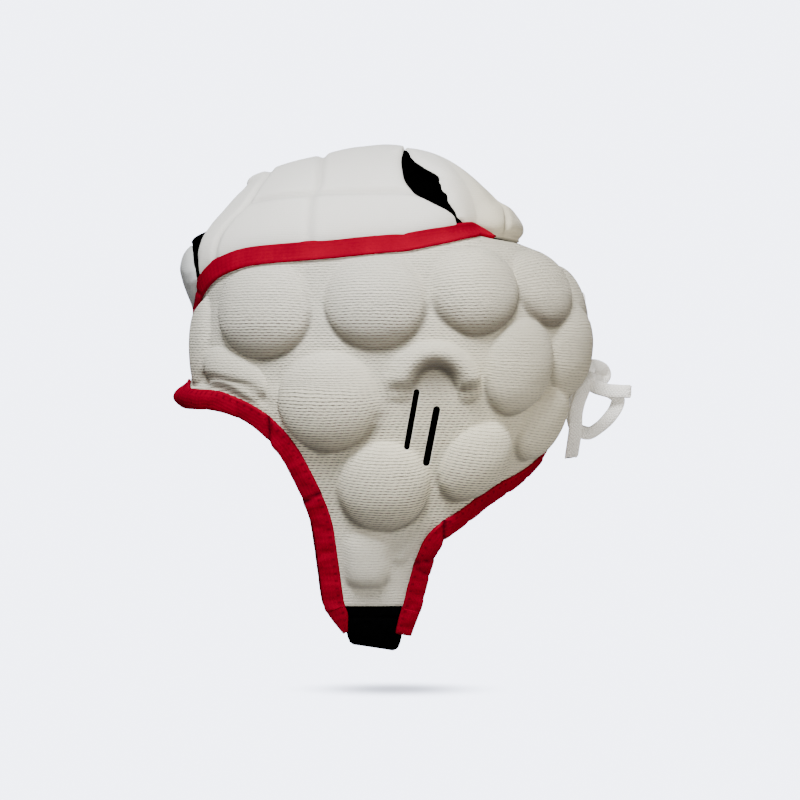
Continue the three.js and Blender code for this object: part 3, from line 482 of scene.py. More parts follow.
# A smooth curve through a table's rows that never swings past them.
def follow(keys, values):
    keys, values = np.asarray(keys, float), np.asarray(values, float)
    spans = np.diff(keys)
    slopes = np.diff(values) / spans
    tangents = np.concatenate([[slopes[0]], np.zeros(len(keys) - 2), [slopes[-1]]])
    product, total = slopes[:-1] * slopes[1:], slopes[:-1] + slopes[1:]
    tangents[1:-1] = np.where(product > 0, 2 * product / np.where(total == 0, 1, total), 0)

    def at(key):
        key = np.clip(key, keys[0], keys[-1])
        i = np.clip(np.searchsorted(keys, key, side="right") - 1, 0, len(keys) - 2)
        t = (key - keys[i]) / spans[i]
        start = values[i] * (1 + 2 * t) * (1 - t) ** 2 + tangents[i] * spans[i] * t * (1 - t) ** 2
        end = values[i + 1] * t * t * (3 - 2 * t) + tangents[i + 1] * spans[i] * t * t * (t - 1)
        return start + end

    return at


def followRows(rows, column):
    table = np.array(rows, float)
    return follow(table[:, 0], table[:, column])


def nearest(line, points):
    flat = points.reshape(-1, 3)
    best = np.full(len(flat), 1e9)
    for start in line:
        best = np.minimum(best, ((flat - start) ** 2).sum(1))
    return np.sqrt(best).reshape(points.shape[:-1])


# the head form

headForm = {
    "squareFront": 2.5,  # exponents of its rounded cross-sections
    "squareBack": 2.2,
    # height, reach forward, reach back, half width, and the Y where it is widest
    "rows": [
        (-264, -70, 40, 42, -12),
        (-243.7, -74, 46, 50, -11),
        (-220, -80, 53, 58, -9),
        (-198, -88, 62, 65.5, -6),
        (-176, -97, 74, 72.5, -3),
        (-159.5, -105, 84, 77, 0),
        (-143, -113, 92, 80.5, 2),
        (-131, -117, 98, 82.5, 3),
        (-122, -109.5, 102, 83.2, 4),
        (-110, -108, 106, 84, 4),
        (-93.5, -107, 107.5, 84, 4),
        (-77, -105.5, 104, 82.5, 4),
        (-65.5, -105, 98.5, 80.5, 4),
        (-56.7, -104, 90.5, 78, 4),
        (-51.2, -103, 83, 75.5, 4),
        (-46.5, -101, 71.5, 73, 4),
        (-40, -98, 56, 69, 4),
    ],
}
headFront, headBack, headHalf, headWidest = (followRows(headForm["rows"], k) for k in range(1, 5))


# A point of the left half's skin: turn is 0 at the front centre and 180 at the back.
def skin(turn, z):
    turn, z = np.broadcast_arrays(np.asarray(turn, float), np.asarray(z, float))
    c = np.cos(np.radians(turn))
    s = np.clip(np.sin(np.radians(turn)), 0, None)
    power = 2 / np.where(c > 0, headForm["squareFront"], headForm["squareBack"])
    widest = headWidest(z)
    reach = np.where(c > 0, widest - headFront(z), headBack(z) - widest)
    x = headHalf(z) * s**power
    y = widest - np.sign(c) * reach * np.abs(c) ** power
    return np.stack([x, y, z], -1)


def turnAt(y, z):
    widest = headWidest(z)
    front = y < widest
    reach = np.where(front, widest - headFront(z), headBack(z) - widest)
    square = np.where(front, headForm["squareFront"], headForm["squareBack"])
    angle = np.degrees(np.arccos(np.clip(np.abs(y - widest) / reach, 0, 1) ** (square / 2)))
    return np.where(front, angle, 180 - angle)


# The turn at which the back of the skin is a given distance from the centre plane.
def backTurn(x, z):
    return 180 - np.degrees(np.arcsin(np.clip(x / headHalf(z), 0, 1) ** (headForm["squareBack"] / 2)))


def skinAxes(turn, z):
    step = 0.4
    turn = np.clip(turn, 1.2, 178.8)
    around = (skin(turn + step, z) - skin(turn - step, z)) / (2 * step)
    upward = (skin(turn, z + step) - skin(turn, z - step)) / (2 * step)
    return around, upward, unit(np.cross(around, upward))


def skinShift(turn, z, way):
    around, upward, _ = skinAxes(turn, z)
    a, b, c = dot(around, around), dot(around, upward), dot(upward, upward)
    p, q = dot(way, around), dot(way, upward)
    det = a * c - b * b
    return turn + (p * c - q * b) / det, z + (q * a - p * b) / det


def lifted(turn, z, height):
    return skin(turn, z) + skinAxes(turn, z)[2] * np.asarray(height)[..., None]


# A line on the skin from a table's rows, by share of its length.
def skinLine(rows):
    z = np.array([row[2] for row in rows], float)
    turn = np.array([row[1] if row[0] == "turn" else turnAt(row[1], row[2]) for row in rows], float)
    if len(rows[0]) > 3:
        shares = np.array([row[3] for row in rows], float)
    else:
        shares = np.concatenate([[0], np.cumsum(np.hypot(np.diff(turn) * 1.5, np.diff(z)))])
        shares = shares / shares[-1]
    turnOf, zOf = follow(shares, turn), follow(shares, z)
    return lambda share: (turnOf(share), zOf(share))


# A panel stops short of the back slit, and its front edge is the front seam.
def seamed(turn, z):
    return backTurn(foam["backSlit"] / 2, z) * (turn / 180), z


# the lines where pieces meet

# Where crown and side panels meet: a turn round the head or a Y, and the height.
ringRows = [
    ("turn", 0, -82),
    ("turn", 6, -80),
    ("turn", 15, -70.5),
    ("y", -92.4, -60),
    ("y", -75.4, -54.6),
    ("y", -37.4, -51.6),
    ("y", -8.8, -48.8),
    ("y", 22, -44.6),
    ("y", 44, -41.2),
    ("y", 56.7, -44.6),
    ("turn", 180, -46.5),
]
# The lower rim, brow to neck, with how far along the panel each point lies.
chinRim = -246.3
chinFront = 0.45
chinRear = 0.58
rimRows = [
    ("turn", 0, -131, 0),
    ("y", -110, -136.5, 0.09),
    ("y", -97.4, -137.3, 0.13),
    ("y", -82.5, -141.6, 0.18),
    ("y", -68.2, -151.8, 0.23),
    ("y", -52.3, -176, 0.3),
    ("y", -42.4, -201.3, 0.36),
    ("y", -39.6, -220, 0.4),
    ("y", -35, chinRim, chinFront),
    ("y", 15.9, chinRim, chinRear),
    ("y", 20.4, -228, 0.62),
    ("y", 26.2, -211, 0.66),
    ("y", 40.7, -198.5, 0.71),
    ("y", 56.7, -186, 0.77),
    ("y", 71, -176.5, 0.83),
    ("y", 81, -166.6, 0.89),
    ("turn", 180, -149.5, 1),
]
ring = skinLine(ringRows)
rim = skinLine(rimRows)


# The rim moved in along the skin, square to its own run.
def insetRim(share, inset):
    share = np.asarray(share, float)
    step = 0.01

    def point(value):
        return skin(*rim(np.clip(value, 0, 1)))

    turn, z = rim(share)
    normal = skinAxes(turn, z)[2]
    middle = point(share)

    def square(start, end):
        return unit(np.cross(normal, end - start))

    later = square(middle, point(share + step))
    before = np.where((share > step)[..., None], square(point(share - step), middle), later)
    after = np.where((share < 1 - step)[..., None], later, before)
    way = (before + after) / (1 + dot(before, after))[..., None]
    return skinShift(turn, z, way * inset)


def ringShare(y):
    low, high = 0.0, 1.0
    for _ in range(40):
        middle = (low + high) / 2
        if skin(*ring(middle))[..., 1] < y:
            low = middle
        else:
            high = middle
    return (low + high) / 2


ringPoints = skin(*ring(np.linspace(0, 1, 160)))
rimPoints = skin(*rim(np.linspace(0, 1, 260)))


# side panels and their linings

foam = {
    "thick": 3.6,
    "gap": 0.3,  # from the ring to the foam's edge
    "backSlit": 3.6,  # laced opening up the back
    "hem": 2.9,  # from the rim to the foam's edge, under the binding
    "columns": 170,  # of the inner face; the outer face has twice as many
    "rows": 104,
    "fill": 0.9,
    "ripples": [(0.5, 26, 3.1), (0.16, 9, 7.7)],  # height, length and seed of the cloth's waves
    # where the face is flat for the tapes: clear of them by this, then rising over as much
    "clear": 0.2, "rimRise": 4.3, "ringRise": 5.3, "slitRise": (1, 11),
}
sideLining = {"thick": 1, "below": 0.85, "hem": -0.8, "slitWider": 0.2, "columns": 120, "rows": 72}
# The pads: centre Y and Z, half size along and up, turn in degrees, height above the panel.
pads = {
    "temple": (-70.5, -83.2, 28, 26.4, 0, 13),
    "aboveEar": (-10, -78.6, 27, 25.5, 0, 13.5),
    "upperBack": (44.2, -72.5, 24.5, 24, 0, 12.5),
    "rearUpper": (82.5, -70, 21, 22.5, 0, 9),
    "rearTop": (100, -73, 15, 17, 0, 4),
    "cheekbone": (-35.3, -133, 27, 26.4, 0, 13.5),
    "behindEar": (68.5, -114.5, 20.5, 26, -16, 11.5),
    "rearLower": (99, -106, 22, 26.5, 0, 8.5),
    "jaw": (-5.2, -178.5, 24.5, 24.8, 0, 13),
    "belowEar": (45, -165.5, 19, 24, -38, 11),
    "nape": (82, -144.5, 20, 23, -38, 9.5),
    "forehead": (-104, -99, 14, 26, 0, 5.5),
    "brow": (-87.5, -119, 25, 13.5, -23, 5.6),
    "chin": (-14, -218, 12, 16.5, 0, 5.8),
}
padCorner = {"chin": 3.2}  # exponent of a pad with squarer corners than an ellipse's 2
padDome = 0.58  # lower is flatter on top and steeper at the edge
earArch = {
    "y": 21.6, "z": -127, "along": 18.8, "up": 19.5, "half": 6.8, "proud": 9, "from": 2, "to": 178,
    "dome": 0.6, "feet": (-0.2, 0.4),
}
underArch = {"y": 22.6, "z": -120.5, "along": 12, "up": 11, "deep": 3}  # the hollow below its crown
earSlits = [  # top and bottom as Y and Z, width
    ((12.5, -126.2), (6.8, -158.6), 3.1),
    ((23.4, -135.3), (17.3, -167.4), 3.7),
]
cutterX = (50, 120)  # the slit cutter runs through the cheek alone
chinRidge = {"from": (20.5, -196), "to": (3.5, -217), "half": 3.4, "proud": 1.9}  # swells towards its lower end
browDent = {"rear": (-60, -74), "front": (-106, -98), "fromRim": 16.5, "half": 3.6, "deep": 2}


def padHeight(points):
    height = np.zeros(points.shape[:-1])
    for name, (y, z, along, up, turned, proud) in pads.items():
        turn = turnAt(y, z)
        around, _, normal = skinAxes(turn, z)
        alongWay = unit(around)
        upWay = np.cross(normal, alongWay)
        way = points - skin(turn, z)
        u, v = dot(way, alongWay), dot(way, upWay)
        c, s = np.cos(np.radians(turned)), np.sin(np.radians(turned))
        corner = padCorner.get(name, 2)
        square = np.abs((u * c + v * s) / along) ** corner + np.abs((v * c - u * s) / up) ** corner
        near = np.linalg.norm(way, axis=-1) < 1.7 * max(along, up)  # not on the far side of the head
        height = np.maximum(height, np.where(near, proud * np.clip(1 - square, 0, 1) ** padDome, 0))
    return height


def archHeight(points):
    u = (points[..., 1] - earArch["y"]) / earArch["along"]
    v = (points[..., 2] - earArch["z"]) / earArch["up"]
    angle = np.degrees(np.arctan2(v, u)) + np.where((v < 0) & (u < 0), 360, 0)
    angle = np.radians(np.clip(angle, earArch["from"], earArch["to"]))
    lineY = earArch["y"] + earArch["along"] * np.cos(angle)
    lineZ = earArch["z"] + earArch["up"] * np.sin(angle)
    off = np.hypot(points[..., 1] - lineY, points[..., 2] - lineZ) / earArch["half"]
    feet = smooth(*earArch["feet"], angle) * smooth(*earArch["feet"], np.pi - angle)
    return earArch["proud"] * feet * np.clip(1 - off * off, 0, 1) ** earArch["dome"]


def ridgeHeight(points):
    start, end = (np.array(chinRidge[key], float) for key in ("from", "to"))
    way = end - start
    at = points[..., 1:] - start
    along = np.clip((at @ way) / (way @ way), 0, 1)
    off = np.linalg.norm(at - along[..., None] * way, axis=-1) / chinRidge["half"]
    return chinRidge["proud"] * (0.4 + 0.6 * along) * np.clip(1 - off * off, 0, 1)


def archHollow(points):
    u = (points[..., 1] - underArch["y"]) / underArch["along"]
    v = (points[..., 2] - underArch["z"]) / underArch["up"]
    return underArch["deep"] * np.exp(-(u * u) - v * v)


# The brow pad dips before the binding, from the forehead round to the cheek.
def browDip(points):
    ends = smooth(*browDent["rear"], points[..., 1]) * smooth(*browDent["front"], points[..., 1])
    off = (nearest(rimPoints, points) - browDent["fromRim"]) / browDent["half"]
    return ends * np.exp(-(off**2))


# How far the outer face stands proud of the head form, kept flat under the tapes and at the slit.
def panelProud(points):
    height = np.maximum(padHeight(points), archHeight(points)) - archHollow(points)
    height = np.maximum(height, ridgeHeight(points)) - browDent["deep"] * browDip(points)
    rimFlat, ringFlat = edgeTape["wide"] + foam["clear"], topBand["half"] + foam["clear"]
    clearRim = smooth(rimFlat, rimFlat + foam["rimRise"], nearest(rimPoints, points))
    clearRing = smooth(ringFlat, ringFlat + foam["ringRise"], nearest(ringPoints, points))
    isBack = points[..., 1] > 60
    clearSlit = np.where(isBack, smooth(*foam["slitRise"], np.abs(points[..., 0])), 1)
    return height * clearRim * clearRing * clearSlit


# Length round the head from the front centre, so that the knit keeps its gauge.
turnSteps = np.linspace(0, 180, 181)
levelSteps = np.linspace(-266, -38, 58)
levelGrid = skin(*np.meshgrid(turnSteps, levelSteps))
roundLengths = np.concatenate(
    [np.zeros((len(levelSteps), 1)), np.linalg.norm(np.diff(levelGrid, axis=1), axis=2).cumsum(1)], 1
)


def clothPlace(turn, z):
    column = np.clip(turn, 0, 179.99)
    row = np.clip((z - levelSteps[0]) / (levelSteps[1] - levelSteps[0]), 0, len(levelSteps) - 1.01)
    i, j = column.astype(int), row.astype(int)
    a, b = column - i, row - j
    low = mix(roundLengths[j, i], roundLengths[j, i + 1], a)
    high = mix(roundLengths[j + 1, i], roundLengths[j + 1, i + 1], a)
    return np.stack([mix(low, high, b), z], -1)


def panelPlaces(columns, rows, rimInset):
    s, t = np.meshgrid(np.linspace(0, 1, columns + 1), np.linspace(0, 1, rows + 1))
    topTurn, topZ = ring(s)
    lowTurn, lowZ = insetRim(s, rimInset)
    length = np.linalg.norm(skin(topTurn, topZ) - skin(lowTurn, lowZ), axis=-1)
    t = mix(foam["gap"] / length, 1, t)
    return seamed(mix(topTurn, lowTurn, t), mix(topZ, lowZ, t))


# A rounded slit's outline at the centre plane. extra widens it all round.
def slitOutline(top, bottom, width, extra):
    (y0, z0), (y1, z1) = top, bottom
    along = np.array([0, y1 - y0, z1 - z0])
    length = np.linalg.norm(along) - width
    along = along / np.linalg.norm(along)
    up = np.array([0, -along[2], along[1]])
    middle = np.array([0, (y0 + y1) / 2, (z0 + z1) / 2])
    reach = width / 2 + extra
    outline = []
    for end, first in ((1, -90), (-1, 90)):
        for angle in np.radians(np.linspace(first, first + 180, 9)):
            outline.append(middle + along * (end * length / 2 + np.cos(angle) * reach) + up * np.sin(angle) * reach)
    return np.array(outline)


# Cuts the ear slits through a left piece; side is -1 for a right one.
def cutSlits(piece, side, extra):
    for top, bottom, width in earSlits:
        outline = slitOutline(top, bottom, width, extra)
        near, far = (outline + [x * side, 0, 0] for x in cutterX)
        count = len(outline)
        faces = [(i, (i + 1) % count, count + (i + 1) % count, count + i) for i in range(count)]
        faces += [tuple(range(count))[::-1], tuple(range(count, 2 * count))]
        uv = np.zeros((2 * count, 2))
        cutter = makePiece("slitCutter", np.concatenate([near, far]), faces, uv, piece.data.materials[0])
        if len(piece.data.materials) > 1:
            cutter.data.materials.append(piece.data.materials[1])
            cutter.data.polygons.foreach_set("material_index", np.ones(len(faces), dtype=int))
        cut = piece.modifiers.new("slit", "BOOLEAN")
        cut.operation = "DIFFERENCE"
        cut.solver = "MANIFOLD"
        cut.object = cutter
        bpy.context.view_layer.objects.active = piece
        bpy.ops.object.modifier_apply(modifier=cut.name)
        bpy.data.objects.remove(cutter)


# Painted shade in the sharp creases along the lower edges of the pads, where the cloth folds back under them.
def creases(proud):
    blurred = softened(proud, 5)
    hollow = np.clip((blurred - proud) / 0.55, 0, 1)
    rising = np.gradient(softened(proud, 3), axis=0) * -1
    return softened(hollow * smooth(0.02, 0.3, rising), 1)


# The cloth's tone, from the Y and Z of its places. Painted shade greys it at the back, down to the nape. It is
# creamier at the back and below, but not at the chin, and the painted shade in its knit's hollows is fainter at both.
tone = {
    "grey": 0.44, "greyBack": (30, 75), "greyDown": (-145, -110),
    "cream": 0.1, "creamBelow": 0.7, "below": (-70, -160), "creamBack": 0.5, "back": (-20, 60),
    "creamChin": 0.6, "creamChinAt": (-185, -215),
    "hollowShadeFadeBack": 0.7, "hollowShadeFadeBackAt": (25, 70), "hollowShadeFadeChin": 0.85, "hollowShadeFadeChinAt": (-190, -215),
    "turned": (0.12, 0.75),  # how far the cloth turns down before it shades itself, and fully does
    # hollow and brow say how much painted shade lies in the hollow under the ear arch and in the brow dip
    "hollow": 0.25, "brow": 0.4,
}


# How far the outer face turns down from the head form, as painted shade, plus painted shade at the back, under the
# ear arch and in the brow dip.
def paintedUnderShade(points, normal):
    across, down = np.gradient(points, axis=1), np.gradient(points, axis=0)
    outward = unit(np.cross(down, across))
    outward = outward * np.sign(dot(outward, normal))[..., None]
    turned = softened(smooth(*tone["turned"], normal[..., 2] - outward[..., 2]), 2)
    return turned + paintedRearShade(points) + tone["hollow"] * archHollow(points) + tone["brow"] * browDip(points)


# Painted shade, greyer towards the back and down to the nape.
def paintedRearShade(points):
    return tone["grey"] * smooth(*tone["greyBack"], points[..., 1]) * smooth(*tone["greyDown"], points[..., 2])


def creamed(points):
    below, back = smooth(*tone["below"], points[..., 2]), smooth(*tone["back"], points[..., 1])
    cream = np.clip(tone["cream"] + tone["creamBelow"] * below + tone["creamBack"] * back, 0, 1)
    return cream * (1 - tone["creamChin"] * smooth(*tone["creamChinAt"], points[..., 2]))


# How strong the painted shade in the knit's hollows is: fainter at the back and at the chin.
def crispness(points):
    back, chin = smooth(*tone["hollowShadeFadeBackAt"], points[..., 1]), smooth(*tone["hollowShadeFadeChinAt"], points[..., 2])
    return 1 - tone["hollowShadeFadeBack"] * back - tone["hollowShadeFadeChin"] * chin


def makePanels(material, inside):
    turn, z = panelPlaces(2 * foam["columns"], 2 * foam["rows"], foam["hem"])
    base = skin(turn, z)
    proud = softened(panelProud(base), 1)
    normal = skinAxes(turn, z)[2]
    innerTurn, innerZ = turn[::2, ::2], z[::2, ::2]
    inner = lifted(innerTurn, innerZ, np.full(innerTurn.shape, -foam["thick"]))
    cloth = clothPlace(turn, z)
    fromRim = nearest(rimPoints, base)
    free = smooth(4, 14, fromRim) * smooth(6, 14, nearest(ringPoints, base))  # where the cloth can ripple
    # crease is painted shade along the pads' lower edges; crisp sets how strong the painted shade in the knit's
    # hollows is
    fields = {"crease": creases(proud) * smooth(11, 18, fromRim), "crisp": crispness(base), "creamTint": creamed(base)}
    for name, side in (("left", 1), ("right", -1)):
        where = base * [side, 1, 1]
        ripple = sum(high * uneven(where, long, seed) for high, long, seed in foam["ripples"]) * free
        outer = base + normal * (proud + ripple)[..., None]
        outer[:, 0, 0], inner[:, 0, 0] = 0, 0  # the halves meet at the front seam
        piece = wallPiece(f"{name}_side_foam", side, outer, inner, cloth, material, inside)
        keepOnMesh(piece, {**fields, "under": paintedUnderShade(outer, normal)})
        cutSlits(piece, side, 0)
        standFor(piece, "knit", f"{name}_side_panel")
        print("made", piece.name)


# Both halves of a lining: sheets of cloth inside the foam.
def makeLinings(part, foams, outer, inner, cloth, slitWider, material):
    for face in (outer, inner):
        face[:, 0, 0] = 0  # the halves are sewn together at the centre
    width = max(np.linalg.norm(np.diff(row, axis=0), axis=1).sum() for row in outer)
    length = max(np.linalg.norm(np.diff(outer[:, k], axis=0), axis=1).sum() for k in range(outer.shape[1]))
    down, across = outer[1:, :-1] - outer[:-1, :-1], outer[:-1, 1:] - outer[:-1, :-1]
    area = float(np.linalg.norm(np.cross(down, across), axis=-1).sum()) * mm * mm
    for (name, side), under in zip((("left", 1), ("right", -1)), foams):
        piece = wallPiece(f"{name}_{part}_lining_cloth", side, outer, inner, cloth, material)
        if slitWider is not None:
            cutSlits(piece, side, slitWider)
        standFor(piece, "lining", f"{name}_{part}_lining")


def makeSideLinings(material):
    turn, z = panelPlaces(sideLining["columns"], sideLining["rows"], sideLining["hem"])
    top = -foam["thick"] - sideLining["below"]
    outer = lifted(turn, z, np.full(turn.shape, top))
    inner = lifted(turn[::2, ::2], z[::2, ::2], np.full(turn[::2, ::2].shape, top - sideLining["thick"]))
    foams = ("left_side_foam", "right_side_foam")
    makeLinings("side", foams, outer, inner, clothPlace(turn, z), sideLining["slitWider"], material)


# crown and its linings

crown = {
    "ridge": [(-77, -12), (-66, -8.5), (-49.5, -3.8), (-36.3, -0.5), (-18.2, 3.9), (-5, 5.2), (8.3, 3.8)],
    # exponent of the shell's arch, and what it changes by along the ring: below 1 it bulges more
    # than an ellipse, and above 1 less
    "arch": 0.8,
    "archSteps": [(0.5, 0.02, 0.1), (-0.3, 0.15, 0.4), (0.4, 0.7, 1)],
    "frontShare": 0.1,  # share of the half ring where the front vent meets it
    "rearSeam": 38,  # Y where the rear vent meets it
    "tongueTop": 0.27,
    "seamGap": 0.2,  # half the gap between neighbouring crown pads
    "lift": 1,
    "under": 3.2,  # how far up from the ring the crown lies flat under the top binding
    "quilt": 0.6,  # share of the height that a quilting line takes away
    "quiltWide": 2.1,
    # A quilting line's darkness is painted shade in its groove.
    "creaseDark": 0.4,  # how dark a quilting line is
    "tuck": (2.6, 0.7),  # how far the cloth turns in at the ring, by row
    "ripple": (0.45, 22, 5.3),  # height, length and seed of the cloth's waves
}
# How far the crown's front leans forward, by level: at the centre, and at the side pads' front edge.
leanRows = [
    (0, 0, 0),
    (0.1, 1.3, 1.9),
    (0.2, 3.6, 3.6),
    (0.25, 4, 4.6),
    (0.31, 5, 4.6),
    (0.4, 1.5, 2.7),
    (0.5, -2, -0.8),
    (0.6, -4.5, -3),
    (0.7, -5.5, -4.5),
    (0.8, -4.5, -3.8),
    (0.9, -2, -0.6),
    (1, 0, 0),
]
# The rear vent, by level: share at which the side pad ends, and at which the rear pad starts.
ventRows = [
    (0, 0.692, 0.706),
    (0.05, 0.678, 0.705),
    (0.09, 0.67, 0.692),
    (0.12, 0.667, 0.676),
    (0.16, 0.65, 0.672),
    (0.24, 0.597, 0.65),
    (0.34, 0.552, 0.65),
    (0.44, 0.542, 0.652),
    (0.55, 0.552, 0.626),
    (0.645, 0.57, 0.611),
    (0.8, 0.622, 0.638),
    (0.91, 0.667, 0.664),
    (1, 0.694, 0.688),
]
# Quilting of the side pads: front line and middle line by level, and the level of the long line by share.
quiltFront = [(0, 0.165), (0.245, 0.19), (0.34, 0.212), (0.415, 0.236), (0.54, 0.245), (0.65, 0.245), (1, 0.21)]
quiltMiddle = [(0, 0.39), (0.365, 0.393), (0.47, 0.405), (1, 0.405)]
quiltLong = [(0.1, 0.47), (0.25, 0.445), (0.307, 0.42), (0.36, 0.4), (0.405, 0.39), (0.508, 0.34), (0.6, 0.3)]
quiltRear = [(0, 0.84), (0.12, 0.84), (0.28, 0.87), (1, 0.92)]
ridgeTable = np.array(crown["ridge"], float)
ridgeY, ridgeZ = follow(np.arange(len(ridgeTable)), ridgeTable[:, 0]), follow(ridgeTable[:, 0], ridgeTable[:, 1])
leanCentre, leanSide = followRows(leanRows, 1), followRows(leanRows, 2)
ventFront, ventBack = followRows(ventRows, 1), followRows(ventRows, 2)
rearShare = ringShare(crown["rearSeam"])
frontShare = crown["frontShare"]


# The crown's shell: s runs along the ring and t climbs from the ring to the ridge.
def crownShell(s, t):
    s, t = np.broadcast_arrays(np.asarray(s, float), np.asarray(t, float))
    base = skin(*ring(s))
    along = np.clip((s - frontShare) / (rearShare - frontShare), 0, 1)
    topY = ridgeY(along * (len(crown["ridge"]) - 1))
    topZ = ridgeZ(topY)
    power = crown["arch"]
    for more, start, end in crown["archSteps"]:
        power = power + more * smooth(start, end, s)
    angle = np.clip(t, 0, 1) * np.pi / 2
    over, up = np.clip(np.cos(angle), 0, 1) ** power, np.sin(angle) ** power
    aside = smooth(0.05, frontShare, s)  # from the centre to the vent's edge
    lean = leanCentre(t) * (1 - aside) + leanSide(t) * aside * (1 - smooth(frontShare, 0.3, s))
    return np.stack([base[..., 0] * over, mix(topY, base[..., 1], over) - lean, mix(base[..., 2], topZ, up)], -1)


def crownAxes(s, t):
    step = 0.004
    a, b = np.clip(s, step, 1 - step), np.clip(t, 0.03, 0.97)
    alongS = (crownShell(a + step, b) - crownShell(a - step, b)) / (2 * step)
    alongT = (crownShell(a, b + step) - crownShell(a, b - step)) / (2 * step)
    return alongS, alongT, unit(np.cross(alongS, alongT))


# Lengths along the ring and up the shell, for shares of each.
def crownScales(s, t):
    alongS, alongT, _ = crownAxes(s, t)
    return np.linalg.norm(alongS, axis=-1), np.linalg.norm(alongT, axis=-1)


def aboveRing(s, t):
    return np.linalg.norm(crownShell(s, t) - crownShell(s, 0), axis=-1)


def crownClimb(s, distance):
    low, high = np.zeros(np.shape(s)), np.full(np.shape(s), 0.5)
    for _ in range(24):
        middle = (low + high) / 2
        below = aboveRing(s, middle) < distance
        low, high = np.where(below, middle, low), np.where(below, high, middle)
    return low


def leastShare(s, t):
    return crown["seamGap"] / np.maximum(crownScales(s, t)[0], 20)


def frontOfSide(t):
    return frontShare + leastShare(frontShare * 1.1, t)


def backOfSide(t):
    return ventFront(t) - leastShare(ventFront(t), t)


# The rear pad's front edge is a little ragged along the vent, by a share of its width: steps by
# count and shift, nicks by height and count, and both fade out between two levels.
raggedEdge = {"share": 0.05, "sharp": 3, "steps": (4.5, 0.6), "nicks": (0.4, 11), "fades": (0.4, 0.8)}


def frontOfBack(t):
    wide = ventBack(t) - ventFront(t)
    (count, shift), (nick, nickCount) = raggedEdge["steps"], raggedEdge["nicks"]
    steps = np.tanh(raggedEdge["sharp"] * np.sin(2 * np.pi * count * t + shift))
    steps = steps + nick * np.sin(2 * np.pi * nickCount * t)
    fade = 1 - smooth(*raggedEdge["fades"], t)
    return ventBack(t) + leastShare(ventBack(t), t) + raggedEdge["share"] * wide * steps * fade


# How near a place is to a quilting line: 1 on the line and 0 away from it.
def bell(distance):
    return np.exp(-((distance / crown["quiltWide"]) ** 2))


def sideQuilt(s, t, scaleS, scaleT):
    front, middle, long = (followRows(rows, 1) for rows in (quiltFront, quiltMiddle, quiltLong))
    behindFront = smooth(-0.01, 0.03, s - front(t))
    lines = [(s - front(t), scaleS, 1), (s - middle(t), scaleS, 1), (t - long(s), scaleT, behindFront)]
    quilt = np.ones(np.shape(s))
    for distance, scale, strength in lines:
        quilt = quilt * (1 - crown["quilt"] * strength * bell(distance * scale))
    return quilt


def rearQuilt(s, t, scaleS, scaleT):
    return 1 - crown["quilt"] * bell((s - followRows(quiltRear, 1)(t)) * scaleS)


# Along the vent's closed end at the ridge the pads keep their height up to the seam.
def narrowing(t):
    return 1 + 11 * smooth(0.7, 0.9, t)


# The front pad is a leaf-shaped tongue over the front vent: rows of level, half width as a share, height.
tongueRows = [
    (0, 0.038, 2.7),
    (0.05, 0.07, 5.4),
    (0.1, 0.09, 7.1),
    (0.15, 0.09, 7.6),
    (0.2, 0.07, 6),
    (0.25, 0.036, 3.4),
    (0.27, 0.012, 1.8),
]
tongueHalf, tongueProud = followRows(tongueRows, 1), followRows(tongueRows, 2)
crownPieces = {
    "front": {
        "from": lambda t: -tongueHalf(t), "to": tongueHalf, "topEnd": crown["tongueTop"], "columns": 40, "rows": 40,
    },
    "side": {
        "from": frontOfSide, "to": backOfSide, "proud": 3.5, "round": 9,
        "away": lambda s, t: [s - frontOfSide(t), (backOfSide(t) - s) * narrowing(t)], "quilt": sideQuilt,
        "topEnd": 0.997, "topEdge": 1, "columns": 76, "rows": 64,
    },
    "rear": {
        "from": frontOfBack, "to": lambda t: 2 - frontOfBack(t), "proud": 2.8, "round": 7, "foot": 2.8,
        "away": lambda s, t: [(s - frontOfBack(t)) * narrowing(t)], "quilt": rearQuilt,
        "topEnd": 0.92, "topEdge": 1, "columns": 84, "rows": 56,
    },
}
# The foot of the rear pad swells over the panels.
rearFoot = {"level": (-24, -31), "back": (44, 58)}


def foldShare(s):
    return np.where(s < 0, -s, np.where(s > 1, 2 - s, s))


def crownQuilt(s, t, piece):
    half = foldShare(s)
    return piece["quilt"](half, t, *crownScales(half, t)) if "quilt" in piece else np.ones(s.shape)


def crownPlace(s, t, height):
    half = foldShare(s)
    point = crownShell(half, t) + crownAxes(half, t)[2] * np.asarray(height)[..., None]
    x = np.maximum(point[..., 0], 0)
    return np.stack([np.where(half == s, x, -x), point[..., 1], point[..., 2]], -1)


def crownProud(s, t, piece):
    half = foldShare(s)
    if "away" not in piece:
        return tongueProud(t) * (0.25 + 0.75 * np.clip(1 - (half / tongueHalf(t)) ** 2, 0, 1) ** 0.5)
    scaleS, scaleT = crownScales(half, t)
    away = [aboveRing(half, t) - crown["under"], (piece["topEdge"] - t) * scaleT]
    away += [share * scaleS for share in piece["away"](half, t)]
    edge = np.min([rounded(d, piece["round"]) for d in away], axis=0)
    level = crownShell(half, t)
    foot = piece.get("foot", 0) * smooth(*rearFoot["level"], level[..., 2]) * smooth(*rearFoot["back"], level[..., 1])
    return (piece["proud"] + foot) * edge * crownQuilt(s, t, piece)


def crownGrid(piece, columns, rows):
    u, v = np.meshgrid(np.linspace(0, 1, columns + 1), np.linspace(0, 1, rows + 1))
    s0 = mix(piece["from"](0.0), piece["to"](0.0), u)
    start = crownClimb(foldShare(s0), crown["lift"]) if "away" in piece else 0
    t = mix(start, piece["topEnd"], v)
    return mix(piece["from"](t), piece["to"](t), u), t


